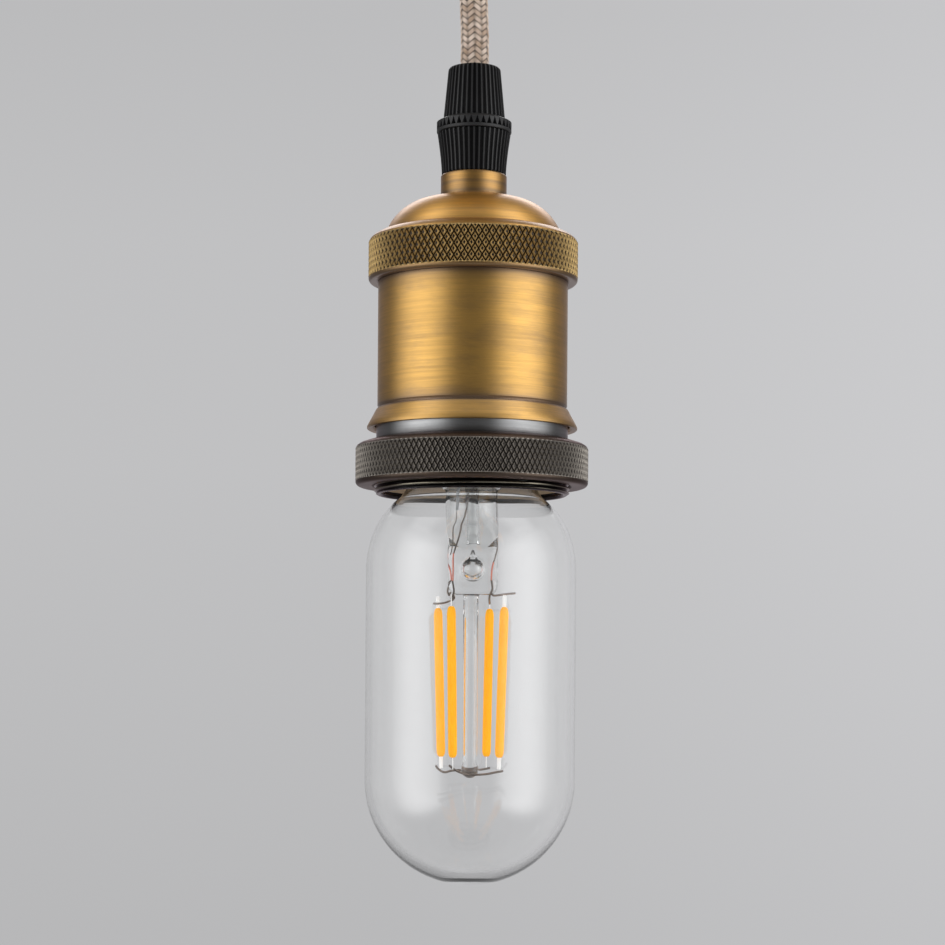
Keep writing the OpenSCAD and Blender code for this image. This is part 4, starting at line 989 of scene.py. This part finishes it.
def pale_stage(name, verts, faces):
    """A surface that shows its own tone to the eye, to glass and to metal, and is lit for the rest."""
    shader, tree = material(name)
    looks[name].cycles.emission_sampling = "NONE"
    fill(tree, shader, {"Base Color": (0.58, 0.58, 0.59, 1), "Roughness": 0.9})
    point = axes(tree, coordinate(tree))
    across = ramp(tree, span(tree, point["X"], -0.41, 0.41),
                  [(0.0, (0.527, 0.527, 0.535)), (0.4, (0.536, 0.536, 0.545)), (0.66, (0.56, 0.56, 0.57)),
                   (1.0, (0.595, 0.595, 0.607))])
    upward = ramp(tree, span(tree, point["Z"], -0.45, 0.38),
                  [(0.0, 0.905), (0.25, 0.955), (0.5, 1.0), (0.75, 1.0), (1.0, 0.945)])
    tone = product(tree, across, upward)
    aside = joined(node(tree, "ShaderNodeMath", operation="ABSOLUTE"), point["X"])
    faded = product(tree, tone, ramp(tree, span(tree, aside, 0.3, 1.3), [(0.0, 0.9), (0.6, 0.32)]))
    rough_ray = joined(node(tree, "ShaderNodeMath", operation="SUBTRACT", use_clamp=True),
                       light_path(tree, "Is Glossy Ray"), light_path(tree, "Is Singular Ray"))
    light = node(tree, "ShaderNodeEmission", Strength=1.0, Color=mix(tree, rough_ray, tone, faded))
    shown = light_path(tree, "Is Camera Ray", "Is Transmission Ray", "Is Glossy Ray")
    show(tree, joined(node(tree, "ShaderNodeMixShader"), shown, shader.outputs[0], light.outputs[0]))
    build(name, verts, faces, [name], None, angle=0)


bend = [math.radians(a) for a in range(0, 91, 10)]
sweep = [(-1400, -950)] + [(1300 + 400 * math.sin(a), -550 - 400 * math.cos(a)) for a in bend] + [(1700, 900)]
verts = [(x, y, z) for y, z in sweep for x in (-2600, 2600)]
faces = [(2 * i, 2 * i + 1, 2 * i + 3, 2 * i + 2) for i in range(len(sweep) - 1)]
pale_stage("backdrop", verts, faces)

# Soft boxes. Each fades towards its edges: across it by (place, share) pairs, and upward by UPWARD

UPWARD = [(0.0, 0.0), (0.2, 1.0), (0.8, 1.0), (1.0, 0.0)]
EVEN = [(0.0, 0.0), (0.3, 1.0), (0.7, 1.0), (1.0, 0.0)]
SIDE_BOX = (0.9, 1.62, 1.5, -0.15)  # distance, width, height and z of the boxes at both sides
SIDE_AZIMUTH = 66
MIRROR_GAIN = 1.25  # how much brighter glass mirrors a side box than metal does
SIDE_SHARES = [(24, 0.0), (31, 0.22), (38, 0.64), (50, 0.88), (60, 1.02), (72, 1.04), (84, 0.78), (96, 0.36),
               (108, 0.06)]


def mirrored(box, radiance, wide):
    """A sheet in the place of a soft box.

    Clear glass shows it by reflection, and looking straight through glass meets nothing.
    """
    name = box.name + "_mirrored"
    _, tree = material(name)
    looks[name].cycles.emission_sampling = "NONE"
    w, h = box.data.size, box.data.size_y
    point = axes(tree, coordinate(tree))
    across = ramp(tree, span(tree, point["X"], -w / 2, w / 2), wide)
    upward = ramp(tree, span(tree, point["Y"], -h / 2, h / 2), UPWARD, "EASE")
    depth = node(tree, "ShaderNodeLightPath").outputs["Glossy Depth"]
    reflected = joined(node(tree, "ShaderNodeMath", operation="GREATER_THAN"), depth, 0.5)
    tone = product(tree, product(tree, across, upward), reflected)
    light = node(tree, "ShaderNodeEmission", Strength=radiance, Color=tone)
    through = node(tree, "ShaderNodeBsdfTransparent")
    show(tree, joined(node(tree, "ShaderNodeAddShader"), through.outputs[0], light.outputs[0]))
    corners = [(x * w / MM / 2, y * h / MM / 2, 0) for x, y in ((-1, -1), (1, -1), (1, 1), (-1, 1))]
    sheet = build(name, corners, [(0, 1, 2, 3)], [name], None, smooth=False)
    sheet.location = box.location
    sheet.rotation_euler = box.rotation_euler
    sheet.visible_camera = sheet.visible_diffuse = sheet.visible_glossy = sheet.visible_shadow = False


def soft_box(name, azimuth, distance, width, height, z, radiance, wide, in_glass=False):
    """A soft box that faces the lamp, in metres and degrees."""
    data = bpy.data.lights.new(name, "AREA")
    data.shape = "RECTANGLE"
    data.size, data.size_y = width, height
    data.energy = 4 * width * height * radiance
    data.use_nodes = True
    tree = data.node_tree
    point = axes(tree, node(tree, "ShaderNodeNewGeometry").outputs["Parametric"])
    across = ramp(tree, point["X"], wide)
    upward = ramp(tree, point["Y"], UPWARD, "EASE")
    feed(tree, tree.nodes["Emission"].inputs["Strength"], product(tree, across, upward))
    ob = bpy.data.objects.new(name, data)
    scene.collection.objects.link(ob)
    ob.visible_camera = ob.visible_transmission = False
    a = math.radians(azimuth)
    ob.location = (distance * math.sin(a), -distance * math.cos(a), z)
    # A high box looks down at the lamp, and any other looks level
    aim = Vector((0, 0, -0.2 if z > 0.5 else z)) - ob.location
    ob.rotation_euler = aim.to_track_quat("-Z", "Y").to_euler()
    if in_glass:
        mirrored(ob, MIRROR_GAIN * radiance, wide)


def across_box(shares, side):
    """(azimuth, share) pairs turned into places across a side box."""
    distance, width = SIDE_BOX[:2]
    reach = round(distance / width, 4)
    stops = [(0.5 + reach * math.tan(math.radians(a - SIDE_AZIMUTH)), share) for a, share in shares]
    if side < 0:
        stops = [(1 - u, share) for u, share in reversed(stops)]
    return [(min(1.0, max(0.0, u)), share) for u, share in stops]


# Name, azimuth, distance, width, height, z, radiance, shares across
soft_box("left_box", -SIDE_AZIMUTH, *SIDE_BOX, 1.2, across_box(SIDE_SHARES, -1), in_glass=True)
soft_box("right_box", SIDE_AZIMUTH, *SIDE_BOX, 1.4, across_box(SIDE_SHARES, 1), in_glass=True)
soft_box("top_box", 0, 0.35, 0.9, 0.7, 1.0, 0.3, EVEN)
soft_box("left_high_box", -72, 0.75, 0.8, 0.8, 0.75, 1.3, EVEN)
soft_box("right_high_box", 72, 0.75, 0.8, 0.8, 0.75, 1.6, EVEN)
soft_box("rear_box", 180, 0.9, 1.5, 0.5, 0.5, 2.0, EVEN)

# World: a dim room for metal, a plain level for dull surfaces, and pale tones for the eye and for glass

world = bpy.data.worlds.new("studio")
scene.world = world
world.use_nodes = True
world.cycles.sampling_method = "NONE"
tree = world.node_tree
way = axes(tree, coordinate(tree, "Generated"))
room = ramp(tree, span(tree, way["Z"], -1.0, 1.0), [(0.0, 0.34), (0.35, 0.075), (0.6, 0.075), (1.0, 0.36)])
room = mix(tree, light_path(tree, "Is Diffuse Ray"), room, (0.5, 0.5, 0.51))
clear = ramp(tree, span(tree, way["Y"], -1.0, 1.0), [(0.0, 0.22), (0.2, 0.26), (0.5, 0.5), (1.0, 0.56)])
under = ramp(tree, span(tree, way["Z"], -0.6, -0.05), [(0.0, 1.0), (1.0, 0.0)])
clear = mix(tree, under, clear, (0.42, 0.43, 0.43))
room = mix(tree, light_path(tree, "Is Singular Ray"), room, clear)
room = mix(tree, light_path(tree, "Is Camera Ray", "Is Transmission Ray"), room, (0.555, 0.555, 0.565))
feed(tree, tree.nodes["Background"].inputs["Color"], room)
scene.view_settings.view_transform = "Standard"
